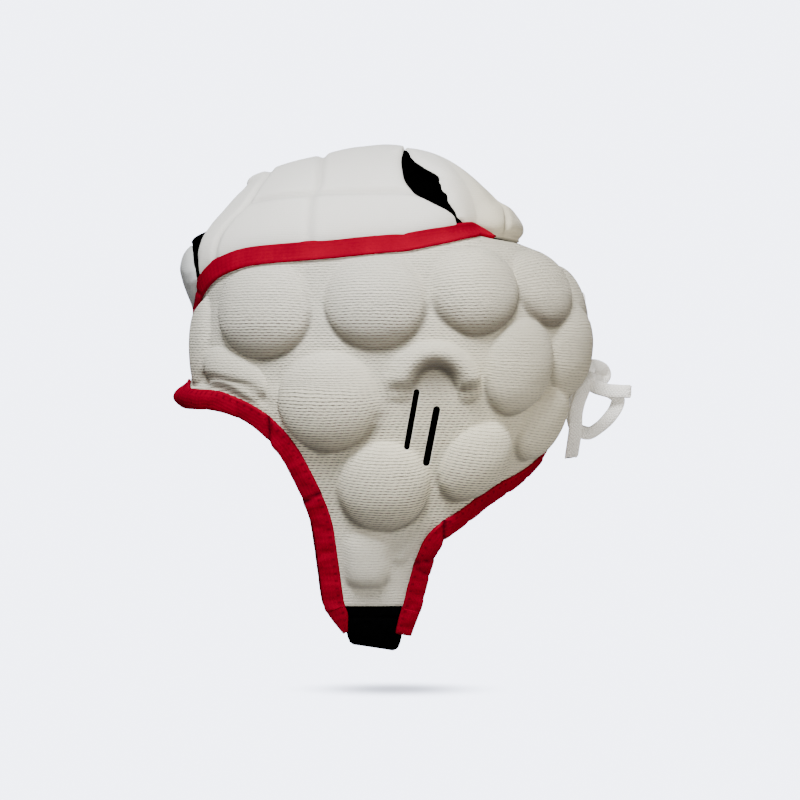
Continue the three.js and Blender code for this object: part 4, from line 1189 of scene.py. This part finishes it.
# Lengths over a grid from its first row and column, for a cloth map.
def gridCloth(points):
    across = np.linalg.norm(np.diff(points, axis=1), axis=2).cumsum(1)
    across = np.concatenate([np.zeros((len(points), 1)), across], 1)
    across = across - across[:, across.shape[1] // 2][:, None]
    return np.stack([across, points[..., 2]], -1)


# The front pad's foot lies over the tape, not under it.
def tongueDepth(s, t, proud):
    depth = mix(2.4, -foam["thick"], smooth(6, 9, aboveRing(foldShare(s), t)))
    return np.minimum(depth, proud - 0.3)


def makeCrown(material, shaded, inside):
    padNames = {"front": ["crown_front"], "rear": ["crown_rear"], "side": ["crown_left", "crown_right"]}
    for kind, names in padNames.items():
        piece = crownPieces[kind]
        isFront = kind == "front"
        s, t = crownGrid(piece, 2 * piece["columns"], 2 * piece["rows"])
        proud = softened(crownProud(s, t, piece), 2)
        shell = crownPlace(s, t, np.zeros(s.shape))
        depth = tongueDepth(s, t, proud) if isFront else np.full(s.shape, -foam["thick"])
        inner = crownPlace(s[::2, ::2], t[::2, ::2], depth[::2, ::2])
        tucked = np.zeros(s.shape)
        if not isFront:
            tucked[0], tucked[1] = crown["tuck"]
        # under is painted shade towards the back, and crease is painted shade in the quilting lines
        fields = {
            "crisp": np.ones(s.shape),
            "under": paintedRearShade(shell + [0, 15, 0]),
            "creamTint": smooth(20, 60, shell[..., 1]),
            "crease": crown["creaseDark"] * np.clip(1 - crownQuilt(s, t, piece), 0, 1),
        }
        high, long, seed = crown["ripple"]
        for name in names:
            side = -1 if name.endswith("right") else 1
            ripple = high * uneven(shell * [side, 1, 1], long, seed) * np.clip(proud / 5, 0, 1)
            outer = crownPlace(s, t, proud + ripple - tucked)
            facing = shaded if isFront else material
            made = wallPiece(f"{name}_cushion", side, outer, inner, gridCloth(shell), facing, inside)
            keepOnMesh(made, fields)
            standFor(made, "knit", f"{name}_pad")
            print("made", made.name)


# The lining's depth below the pads, its own thickness, and its puff in the front vent by level.
crownLining = {
    "below": 2.0, "thick": 1.0, "from": 0.02, "to": 0.997, "rearRise": 4.6, "middle": (0, 0, -95),
    "puff": [(0, 0), (0.12, 2), (0.2, 6), (0.27, 7), (0.34, 4), (0.42, 0.8), (0.5, 0)],
}


def makeCrownLinings(material):
    u, v = np.meshgrid(np.linspace(0, 1, 181) ** 1.4, np.linspace(0, 1, 91))
    t = mix(crownLining["from"], crownLining["to"], v)
    # it puffs out a little through the front vent, beside and above the tongue
    beside = np.where(t < crown["tongueTop"], tongueHalf(t), -1)
    puff = followRows(crownLining["puff"], 1)(t) * (1 - smooth(0.46, 0.54, t))
    puff = puff * smooth(0.004, 0.02, u - beside) * (1 - smooth(0.08, 0.1, u))
    # and it rises between the pads where the rear vent closes at the ridge
    inVent = smooth(-0.02, 0.01, u - ventFront(t)) * smooth(-0.02, 0.01, ventBack(t) - u)
    puff = puff + crownLining["rearRise"] * inVent * smooth(0.6, 0.78, t)
    height = softened(puff, 1) - foam["thick"] - crownLining["below"]
    shell, normal = crownShell(u, t), crownAxes(u, t)[2]
    fromHead = unit(shell - crownLining["middle"])
    way = unit(mix(normal, fromHead, smooth(0.55, 0.8, t)[..., None]))

    def liftedOff(above):
        point = shell + way * above[..., None]
        point[..., 0] = np.maximum(point[..., 0], 0)
        return point

    outer, inner = liftedOff(height), liftedOff(height - crownLining["thick"])[::2, ::2]
    outer[:, 0, 0] = 0
    foams = ("crown_left_cushion", "crown_right_cushion")
    makeLinings("crown", foams, outer, inner, gridCloth(outer), None, material)


# tapes

topBand = {
    "half": 5.6, "lift": 0.3, "thick": 1.9,
    "tipY": 55,  # where its rear ends come to a point
    "taper": 0.07, "tipHalf": 0.5,
    "run": 190,  # its length from the front centre to a tip
    "steps": 220,
    "swell": 0.3, "uneven": 0.3,
    # how deep its folds are, where they lie, how they slant and how wide they are
    "folds": [(0.7, 22, 8, 1.4), (0.4, 118, -4, 1.6)],
}
edgeTape = {
    "wide": 10.5, "thick": 1.6, "lift": 0.3,
    "inside": 2.3,  # how far the tape turns in on the lining's side
    "swell": 0.35,  # of its face between its edges
    "stitch": 1.9,  # from the inner edge to its stitches
    "step": 0.0035,  # between sections, as a share of the rim
}
# The tapes' ends past the rim: Y, Z and width.
faceTail = [(-35, chinRim, 10.3), (-31.2, -251.6, 9), (-25.6, -258.4, 3.2)]
neckTail = [(15.9, chinRim, 10.5), (14, -251.5, 10), (11.2, -259.6, 8.8)]


# A folded tape's cross-section: in from the rim along the skin, and out from the skin.
def tapeSection(wide, lift, thick, hem, deep):
    top = lift + thick
    under = [(0.1, -deep + 0.3), (0.5, -deep), (hem - 0.4, -deep), (hem, -deep + 0.3), (hem, lift - 0.2)]
    edge = [(hem + 0.2, lift), (wide - 0.2, lift), (wide, lift + 0.25), (wide - 0.1, top - 0.35), (wide - 0.5, top)]
    face = []
    for share in np.linspace(0.08, 0.92, 8):
        face.append((mix(wide - 0.5, 0.9, share), top + edgeTape["swell"] * np.sin(np.pi * share)))
    return under + edge + face + [(0.6, top - 0.1), (0.2, top - 0.5), (0, top - 1.0), (0, -deep + 0.8)]


def rimPlaces(start, end, tail):
    places = []
    count = int(np.ceil(abs(end - start) / edgeTape["step"]))
    for k in range(count):
        share = start + np.sign(end - start) * k * edgeTape["step"]
        turn, z = seamed(*rim(share))
        places.append((float(turn), float(z), edgeTape["wide"]))
    yOf, zOf, width = (follow([0, 1, 2], [row[k] for row in tail]) for k in range(3))
    for k in np.linspace(0, 2, 15):
        z = zOf(k)
        turn, z = seamed(turnAt(yOf(k), z), z)
        places.append((float(turn), float(z), float(width(k))))
    return places


def stitchLine(inward, wide):
    return max(0, 1 - abs(wide - edgeTape["stitch"] - inward) / 1.3)


# Sections of a tape along the rim, each with what its points keep for the material.
# puff adds height at a place along and across the tape, and fold gives the shadow there.
def tapeSections(places, side, puff, fold):
    sections, shades = [], []
    run = 0.0
    last = None
    for k, (turn, z, wide) in enumerate(places):
        reach = min(4, k, len(places) - 1 - k) or 1
        before, after = places[max(k - reach, 0)], places[min(k + reach, len(places) - 1)]
        forward = unit(skin(*after[:2]) - skin(*before[:2]))
        normal = skinAxes(turn, z)[2]
        into = unit(np.cross(normal, forward)) * side
        here = skin(turn, z)
        run += 0 if last is None else float(np.linalg.norm(here - last))
        last = here
        points, shade = [], []
        for inward, out in tapeSection(wide, edgeTape["lift"], edgeTape["thick"], edgeTape["inside"], foam["thick"]):
            shifted = skinShift(turn, z, into * inward)
            onFace = out > edgeTape["lift"]
            points.append(lifted(*shifted, out + (puff(run, inward / wide) if onFace else 0)))
            shade.append((fold(run, inward / wide) if onFace else 0, stitchLine(inward, wide) if onFace else 0))
        sections.append(np.array(points))
        shades.append(np.array(shade))
    return sections, shades


# Creases across a tape: where along its run, how deep, half width, slant. A negative one swells.
faceCreases = [
    (24, 0.5, 1.6, 0.2), (57, 0.5, 1.8, -0.5), (75, 0.4, 1.3, 0.5), (94, 0.95, 1.4, 0.9), (98, -0.7, 2.4, 0.9),
    (113, 0.5, 1.4, 0.3), (135, 0.9, 1.2, 0.25), (138.5, -0.6, 2.6, 0.3), (152, 0.4, 1.8, -0.4), (166, 0.5, 1.6, 0.3),
    (181, 0.4, 1.5, 0.2),
]
neckCreases = [
    (38, 0.4, 1.8, 0.4), (64, 0.4, 2, -0.4), (88, 0.55, 1.6, 0.8), (106, 0.95, 1.4, 0.6), (110, -0.6, 2.2, 0.6),
    (122, 0.8, 1.3, -0.4), (128, 0.75, 1.2, 0.5), (141, 0.6, 1.4, 0.3),
]
tapeWaves = [(0.9, 9, 1.4, 0), (0.5, 3.5, 2.2, 9)]  # height, length, share of them across the tape, seed


# How far a crease lies from a place on the tape, in millimetres.
def fromCrease(run, across, at, slant):
    return run + slant * (across - 0.5) * 10 - at


def creased(creases, seed):
    def puff(run, across):
        middle = np.sin(np.pi * np.clip(across, 0, 1)) ** 0.5
        height = 0
        for high, long, wide, more in tapeWaves:
            height += high * noise.noise(Vector((run / long, across * wide, seed + more))) * middle
        for at, depth, half, slant in creases:
            distance = fromCrease(run, across, at, slant) / half
            height -= 1.5 * depth * np.exp(-distance * distance)
        return height

    return puff


# The deeper creases hold shadow.
def shadowed(creases):
    def fold(run, across):
        deepest = 0
        for at, depth, half, slant in creases:
            distance = fromCrease(run, across, at, slant) / (0.55 * half)
            deepest = max(deepest, smooth(0.45, 1, depth) * np.exp(-distance * distance))
        return deepest

    return fold


def keepShades(piece, shades):
    shades = np.array(shades)
    keepOnMesh(piece, {"fold": shades[..., 0], "seam": shades[..., 1]})


def makeEdgeTapes(material):
    places = rimPlaces(0, chinFront, faceTail)
    left, shades = tapeSections(places, 1, creased(faceCreases, 1.5), shadowed(faceCreases))
    right = [mirrorOf(section) for section in tapeSections(places, 1, creased(faceCreases, 8.5), shadowed([]))[0]]
    made = tubePiece("face_edge_tape", right[:0:-1] + left, material)
    keepShades(made, shades[:0:-1] + shades)
    standFor(made, "binding", "face_binding")
    for name, side in (("left", 1), ("right", -1)):
        places = rimPlaces(1, chinRear, neckTail)
        sections, shades = tapeSections(places, -1, creased(neckCreases, 4.5 + 3 * side), shadowed(neckCreases))
        sections = [section * [side, 1, 1] for section in sections]
        made = tubePiece(f"{name}_neck_tape", sections, material)
        keepShades(made, shades)
        standFor(made, "binding", f"{name}_neck_binding")
    print("made the edge tapes")


def bandSection(share, half, puff):
    turn, z = ring(share)
    _, _, normal = skinAxes(turn, z)
    way = unit(skin(*ring(min(share + 0.004, 1))) - skin(turn, z))
    down = skinShift(turn, z, np.cross(way, normal) / np.linalg.norm(np.cross(way, normal)) * half)
    crownNormal = crownAxes(share, 0.03)[2]
    low = (skin(*down), skinAxes(*down)[2])
    middle = (skin(turn, z), unit(normal + crownNormal))
    high = (crownShell(share, crownClimb(share, half)), crownNormal)

    # a smooth curve over the three, from low to high
    def over(w, out):
        shares = np.array([(1 - w) * (1 - 2 * w), 4 * w * (1 - w), w * (2 * w - 1)])
        point = sum(c * p[0] for c, p in zip(shares, (low, middle, high)))
        return point + unit(sum(c * p[1] for c, p in zip(shares, (low, middle, high)))) * out

    lift, top = topBand["lift"], topBand["lift"] + topBand["thick"]
    across = np.linspace(0, 1, 13)
    inner = [over(w, lift) for w in across[1:-1]]
    outer = [over(w, top + puff(w)) for w in across[::-1][1:-1]]
    edges = [[over(w, lift + 0.25), over(w, (lift + top) / 2), over(w, top - 0.3)] for w in (1, 0)]
    return np.array(inner + edges[0] + outer + edges[1][::-1])


# The unevenness of the top tape across its width, at one place along it.
def bandPuff(run, seed):
    def puff(w):
        rise = np.sin(np.pi * w)
        height = topBand["swell"] * rise + topBand["uneven"] * noise.noise(Vector((run / 11, w * 1.5, seed))) * rise
        for deep, at, slant, half in topBand["folds"]:
            height -= deep * np.exp(-(((run - at + slant * w) / half) ** 2))
        return height

    return puff


def makeTopTape(material):
    tip = ringShare(topBand["tipY"])
    left, right = [], []
    run = 0.0
    for k in range(topBand["steps"] + 1):
        share = tip * k / topBand["steps"]
        full = np.sqrt(np.clip((tip - share) / topBand["taper"], 0, 1))
        half = mix(topBand["tipHalf"], topBand["half"], full)
        for rows, seed in ((left, 2.5), (right, 6.5)):
            rows.append(bandSection(share, half, bandPuff(run, seed)))
        run += topBand["run"] / topBand["steps"]
    right = [mirrorOf(section) for section in right[:0:-1]]
    made = tubePiece("top_edge_tape", right + left, material)
    standFor(made, "binding", "top_binding")
    print("made the top tape")


# chin strap

strap = {
    "thick": 3.0,
    "edge": 1.1,  # radius of its long edges
    "crease": {"level": -250, "half": 0.8, "deep": 0.5},
    # outer face at half width and height, front edge, rear edge, and lift of the front edge
    "rows": [
        (49.2, -245, -24.6, 5.6, 0),
        (46.8, -251, -24.6, 5.6, 0),
        (43.4, -258, -24.4, 5.6, 0.6),
        (37, -263, -23.4, 5, 1.8),
        (26, -266.3, -22.8, 4, 3),
        (13, -267.6, -22.4, 3.4, 3.8),
        (0, -268, -22.4, 3, 4.2),
    ],
}


def makeStrap(material):
    table = np.array(strap["rows"], float)
    last = len(table) - 1
    x, z, front, rear, lift = (follow(np.arange(len(table)), table[:, k]) for k in range(5))
    across = np.linspace(0, 1, 15)
    left = []
    for k in np.linspace(0, last, 61):
        here = np.array([x(k), 0, z(k)])
        before, after = max(k - 0.2, 0), min(k + 0.2, last)
        way = np.array([x(after) - x(before), 0, z(after) - z(before)])
        if k == last:
            way = np.array([-1, 0, 0])
        inward = unit(np.array([way[2], 0, -way[0]]))
        if inward[0] * here[0] > 0 or (abs(here[0]) < 1 and inward[2] < 0):
            inward = -inward
        wrinkle = strap["crease"]
        crease = wrinkle["deep"] * np.exp(-(((here[2] - wrinkle["level"]) / wrinkle["half"]) ** 2))
        section = []
        for isInner, shares in ((False, across), (True, across[::-1])):
            for w in shares:
                edge = 1 - rounded(np.minimum(w, 1 - w) * abs(rear(k) - front(k)), strap["edge"])
                deep = strap["thick"] - edge * strap["edge"] if isInner else edge * strap["edge"] + crease
                flat = [0, mix(front(k), rear(k), w), mix(lift(k) / 2, -lift(k) / 2, w)]
                section.append(here + flat + inward * deep)
        left.append(np.array(section))
    right = [mirrorOf(section) for section in left[:-1]]
    made = tubePiece("chin_webbing", left + right[::-1], material)
    standFor(made, "strap", "chin_strap")
    print("made the chin strap")


# lacing up the back

lacing = {
    "rows": [-72, -88, -104, -119],  # heights of the eyelets
    "eyeletX": 8, "wide": 5.5, "thick": 1.2, "lift": 0.5,
    "short": 3,  # how far a bar stops short of its eyelets
    "over": 0.3,  # between a bar and the one that it crosses
}


def backFace(x, z):
    return skin(backTurn(np.abs(x), z), z)[..., 1]


# How far the panels stand proud beside the slit, by height.
slitLevels = np.linspace(-130, -60, 71)
slitBeside = (foam["backSlit"] / 2, 4, 8)
slitProud = np.max([panelProud(skin(backTurn(x, slitLevels), slitLevels)) for x in slitBeside], axis=0)


def makeLacing(material):
    eyelet, wide, thick = lacing["eyeletX"], lacing["wide"], lacing["thick"]
    for row, (high, low) in enumerate(zip(lacing["rows"], lacing["rows"][1:]), 1):
        for kind, fromSide in (("over", 1), ("under", -1)):
            fromZ, toZ = high - lacing["short"], low + lacing["short"]
            way = unit(np.array([-2 * fromSide * eyelet, 0, toZ - fromZ]))
            square = np.array([way[2], 0, -way[0]])
            lift = lacing["lift"] + (thick + lacing["over"] if kind == "over" else 0)
            sections = []
            for k in np.linspace(0, 1, 25):
                x, z = mix(fromSide, -fromSide, k) * eyelet, mix(fromZ, toZ, k)
                section = []
                for angle in np.linspace(0, 2 * np.pi, 20, endpoint=False):
                    p = np.array([x, 0, z]) + square * (np.cos(angle) * wide / 2)
                    proud = np.interp(p[2], slitLevels, slitProud)
                    y = float(backFace(p[0], p[2])) + proud + lift + thick / 2 + np.sin(angle) * thick / 2
                    section.append([p[0], y, p[2]])
                sections.append(section)
            made = tubePiece(f"lacing_{kind}_bar_{row}", sections, material)
            standFor(made, "lace", f"lacing_{kind}_{row}")
    print("made the lacing")


# The flat lace of the bow: routes in millimetres, from the knot outwards.
bow = {
    "wide": 7.4,
    "thick": 2.4,
    "step": 0.75,  # between sections
    "rib": (0.1, 2.4),  # height as a share of the thickness, and pitch
    "uneven": (0.05, 6),  # share of the width, and length of its waves
    "lowLoop": [
        (2, 103.4, -127.5), (2.4, 100.9, -134), (2, 100.4, -141), (1, 102.6, -147.6),
        (1, 109.3, -150.2), (1, 114.9, -147.2), (1, 120.5, -141.9), (1, 124.5, -135.9),
        (1, 125.4, -131.2), (0.5, 121.6, -127.8), (-0.5, 117.4, -126.4), (-0.5, 113.5, -125.2),
    ],
    "lowInside": [(1.5, 109.6, -123.4), (4.4, 107.6, -124.2)],  # through the knot
    "lowEnd": [(4.6, 105.6, -128), (5.4, 102.4, -137.5), (5.2, 101.7, -148.5), (4.6, 99.6, -163.4)],
    "highLoop": [
        (-4.4, 109.2, -117.2), (-7, 110.8, -113.6), (-12.5, 114, -113.2), (-18.5, 118.4, -115.2),
        (-21.5, 119.6, -118.2), (-18.5, 117.6, -120.6), (-12, 113.4, -120.4), (-5.9, 110.9, -122.2),
    ],
    "highInside": [(-1, 108.2, -122.2), (3.4, 109.4, -122.6)],
    "backEnd": [(5.2, 112.5, -124.2), (5.2, 119, -126.6), (5.2, 126, -127.2), (5, 132, -127.3)],
    # which way each lace's face looks, by share of its length
    "lowFacing": [
        (0, 1, 0.1, 0.2), (0.2, 1, 0.35, 0), (0.3, 1, 0, -0.7), (0.42, 1, -0.1, 0.4), (0.8, 1, 0.1, 0.3),
        (1, 1, -0.1, 0.4),
    ],
    "highFacing": [
        (0, 0.9, 0, 0.3), (0.3, 1, 0.2, 0.1), (0.5, 1, 0.1, 0.1), (0.68, 1, 0, 0.2), (0.8, 1, 0, 0),
        (1, 1, 0, 0.1),
    ],
    "cut": 0.985,  # share at which the ragged end begins
    "lowSlant": 0.25,  # of its end
    "highSlant": -0.1,
}


# A smooth curve through a route's points, in even steps.
def smoothRoute(points, step):
    points = np.array(points, float)
    gaps = np.linalg.norm(np.diff(points, axis=0), axis=1) ** 0.5
    knots = np.concatenate([[0], gaps.cumsum()])
    ends = np.array([2 * points[0] - points[1], 2 * points[-1] - points[-2]])
    extended = np.concatenate([ends[:1], points, ends[1:]])
    times = np.concatenate([[-gaps[0]], knots, [knots[-1] + gaps[-1]]])
    fine = []
    for t in np.linspace(0, knots[-1], 1200):
        i = int(np.clip(np.searchsorted(knots, t, side="right") - 1, 0, len(points) - 2))
        p, k = extended[i : i + 4], times[i : i + 4]
        a = [mix(p[n], p[n + 1], (t - k[n]) / (k[n + 1] - k[n])) for n in range(3)]
        b = [mix(a[n], a[n + 1], (t - k[n]) / (k[n + 2] - k[n])) for n in range(2)]
        fine.append(mix(b[0], b[1], (t - k[1]) / (k[2] - k[1])))
    fine = np.array(fine)
    run = np.concatenate([[0], np.linalg.norm(np.diff(fine, axis=0), axis=1).cumsum()])
    at = np.linspace(0, run[-1], int(round(run[-1] / step)) + 1)
    return np.stack([np.interp(at, run, fine[:, k]) for k in range(3)], 1)


def lacePiece(name, route, facing, cut, material):
    path = smoothRoute(route, bow["step"])
    tangents = unit(np.gradient(path, axis=0))
    shares = [row[0] for row in facing]
    faces = [follow(shares, [row[k + 1] for row in facing]) for k in range(3)]
    ribHigh, ribPitch = bow["rib"]
    rough, roughLong = bow["uneven"]
    sections = []
    run = 0.0
    for k, (point, tangent) in enumerate(zip(path, tangents)):
        share = k / (len(path) - 1)
        n = np.array([face(share) for face in faces])
        n = unit(n - tangent * dot(n, tangent))
        w = np.cross(tangent, n)
        end = 1 - 0.5 * smooth(bow["cut"], 1, share) - 0.35 * (1 - smooth(0, 0.012, share))
        halfWide = bow["wide"] / 2 * (1 + rough * noise.noise(Vector((run / roughLong, 0.3, 2.2))))
        halfThick = bow["thick"] / 2 * end
        section = []
        for angle in np.linspace(0, 2 * np.pi, 28, endpoint=False):
            c, s = np.cos(angle), np.sin(angle)
            rib = 1 + ribHigh * np.cos(8 * c) * np.cos(run * 2 * np.pi / ribPitch)
            across = np.sign(c) * abs(c) ** 0.75 * halfWide
            slant = cut * across + 0.7 * np.sin(across * 2.3 + 1) if share > bow["cut"] else 0
            section.append(point + w * across + n * np.sign(s) * abs(s) ** 0.8 * halfThick * rib + tangent * slant)
        sections.append(section)
        run += bow["step"]
    return tubePiece(name, sections, material), path


def makeBow(material):
    laces = {
        "low": (bow["lowLoop"] + bow["lowInside"] + bow["lowEnd"], ("lace_loop_low", "lace_end_low")),
        "high": (bow["highLoop"] + bow["highInside"] + bow["backEnd"], ("lace_loop_high", "lace_end_back")),
    }
    for name, (route, nodes) in laces.items():
        made, path = lacePiece(f"{name}_bow_lace", route, bow[f"{name}Facing"], bow[f"{name}Slant"], material)
        standFor(made, "lace", *nodes)
        length = np.linalg.norm(np.diff(path, axis=0), axis=1).sum() * mm
        print(name, "lace length", round(float(length), 4))


# The knot is a short coil of the same lace.
knot = {
    "centre": (1, 108.6, -122.4),
    "turns": 1.6, "start": -1.2,
    "wide": 3.6, "high": 3.4,  # radii of the coil
    "long": 3.4,  # half its length
    "laceHalf": 3.2, "laceThick": 1.5,
}


def makeKnot(material):
    sections = []
    around = np.linspace(0, 2 * np.pi, 24, endpoint=False)
    for k in np.linspace(0, 1, 90):
        angle = 2 * np.pi * knot["turns"] * k + knot["start"]
        c, s = np.cos(angle), np.sin(angle)
        axis = mix(-knot["long"], knot["long"], k)
        middle = np.array(knot["centre"]) + [
            knot["wide"] * c, axis * 0.35 + 1.2 * np.sin(angle * 2), knot["high"] * s + axis * 0.4
        ]
        tangent = unit(np.array([-knot["wide"] * s, 0.25, knot["high"] * c]))
        out = unit(np.array([c, 0, s]))
        wide = np.cross(tangent, out)
        sections.append(
            [middle + wide * np.cos(a) * knot["laceHalf"] + out * np.sin(a) * knot["laceThick"] for a in around]
        )
    made = tubePiece("bow_knot", sections, material)
    standFor(made, "lace", "lace_knot")
    print("made the knot")


# floor and surroundings

studio = {
    "backdrop": (5.0, 5.25, 6.2),  # its light in red, green and blue
    "bounce": "898989",  # the floor's colour as the headguard sees it
    "ambient": 0.07,
    "floor": -0.291,
    "shadeAt": (0, -0.04, 3.8),
    "shadeSpread": (9, 14, 13),
    "shadeLeast": 0.27,
}


# A pale floor with a soft shade painted on it, under the headguard.
def makeFloor():
    material, tree, floor = newMaterial("pale_studio_floor")
    floor.inputs["Base Color"].default_value = fromHex(studio["bounce"])
    floor.inputs["Roughness"].default_value = 1
    floor.inputs["Specular IOR Level"].default_value = 0
    place = addNode(tree, "TexCoord")
    under = addNode(
        tree, "Mapping",
        {"Vector": place.outputs["Object"], "Location": studio["shadeAt"], "Scale": studio["shadeSpread"]},
    )
    away = addNode(tree, "VectorMath", {0: under.outputs[0]}, operation="LENGTH")
    shade = addNode(
        tree, "MapRange",
        {"Value": away.outputs["Value"], "From Min": 0, "From Max": 1, "To Min": studio["shadeLeast"], "To Max": 1},
        interpolation_type="SMOOTHERSTEP",
    )
    glow = addNode(tree, "Emission", {"Color": (*studio["backdrop"], 1), "Strength": shade.outputs[0]})
    ray = addNode(tree, "LightPath")
    both = addNode(tree, "MixShader", {0: ray.outputs["Is Camera Ray"], 1: floor.outputs[0], 2: glow.outputs[0]})
    tree.links.new(both.outputs[0], tree.nodes["Material Output"].inputs["Surface"])
    mesh = bpy.data.meshes.new("studio_floor")
    turns = np.linspace(0, 2 * np.pi, 96, endpoint=False)
    mesh.from_pydata([(np.cos(a), np.sin(a), studio["floor"]) for a in turns], [], [list(range(96))])
    mesh.materials.append(material)
    piece = bpy.data.objects.new("studio_floor", mesh)
    bpy.context.collection.objects.link(piece)


def makeWorld():
    world = bpy.data.worlds.new("studio")
    world.use_nodes = True
    bpy.context.scene.world = world
    tree = world.node_tree
    tree.nodes.clear()
    ray = addNode(tree, "LightPath")
    seen = addNode(tree, "Background", {"Color": (*studio["backdrop"], 1), "Strength": 1})
    cast = addNode(tree, "Background", {"Color": (1, 1, 1, 1), "Strength": studio["ambient"]})
    both = addNode(tree, "MixShader", {0: ray.outputs["Is Camera Ray"], 1: cast.outputs[0], 2: seen.outputs[0]})
    addNode(tree, "OutputWorld", {0: both.outputs[0]})
    print("made the floor and the surroundings")


addCamera()
lace = braidedLace()
makeBow(lace)
makeKnot(lace)
makeLacing(lace)
foamCore = blackCloth("black_foam_core")
makePanels(knitFabric(knitLook["side"]), foamCore)
lining = blackCloth("black_brushed_lining")
makeSideLinings(lining)
makeCrown(knitFabric(knitLook["crown"]), knitFabric(knitLook["front"]), foamCore)
makeCrownLinings(lining)
tape = wovenTape()
makeEdgeTapes(tape)
makeTopTape(tape)
makeStrap(blackCloth("black_nylon_webbing"))
makeFloor()
makeWorld()
addLamps()
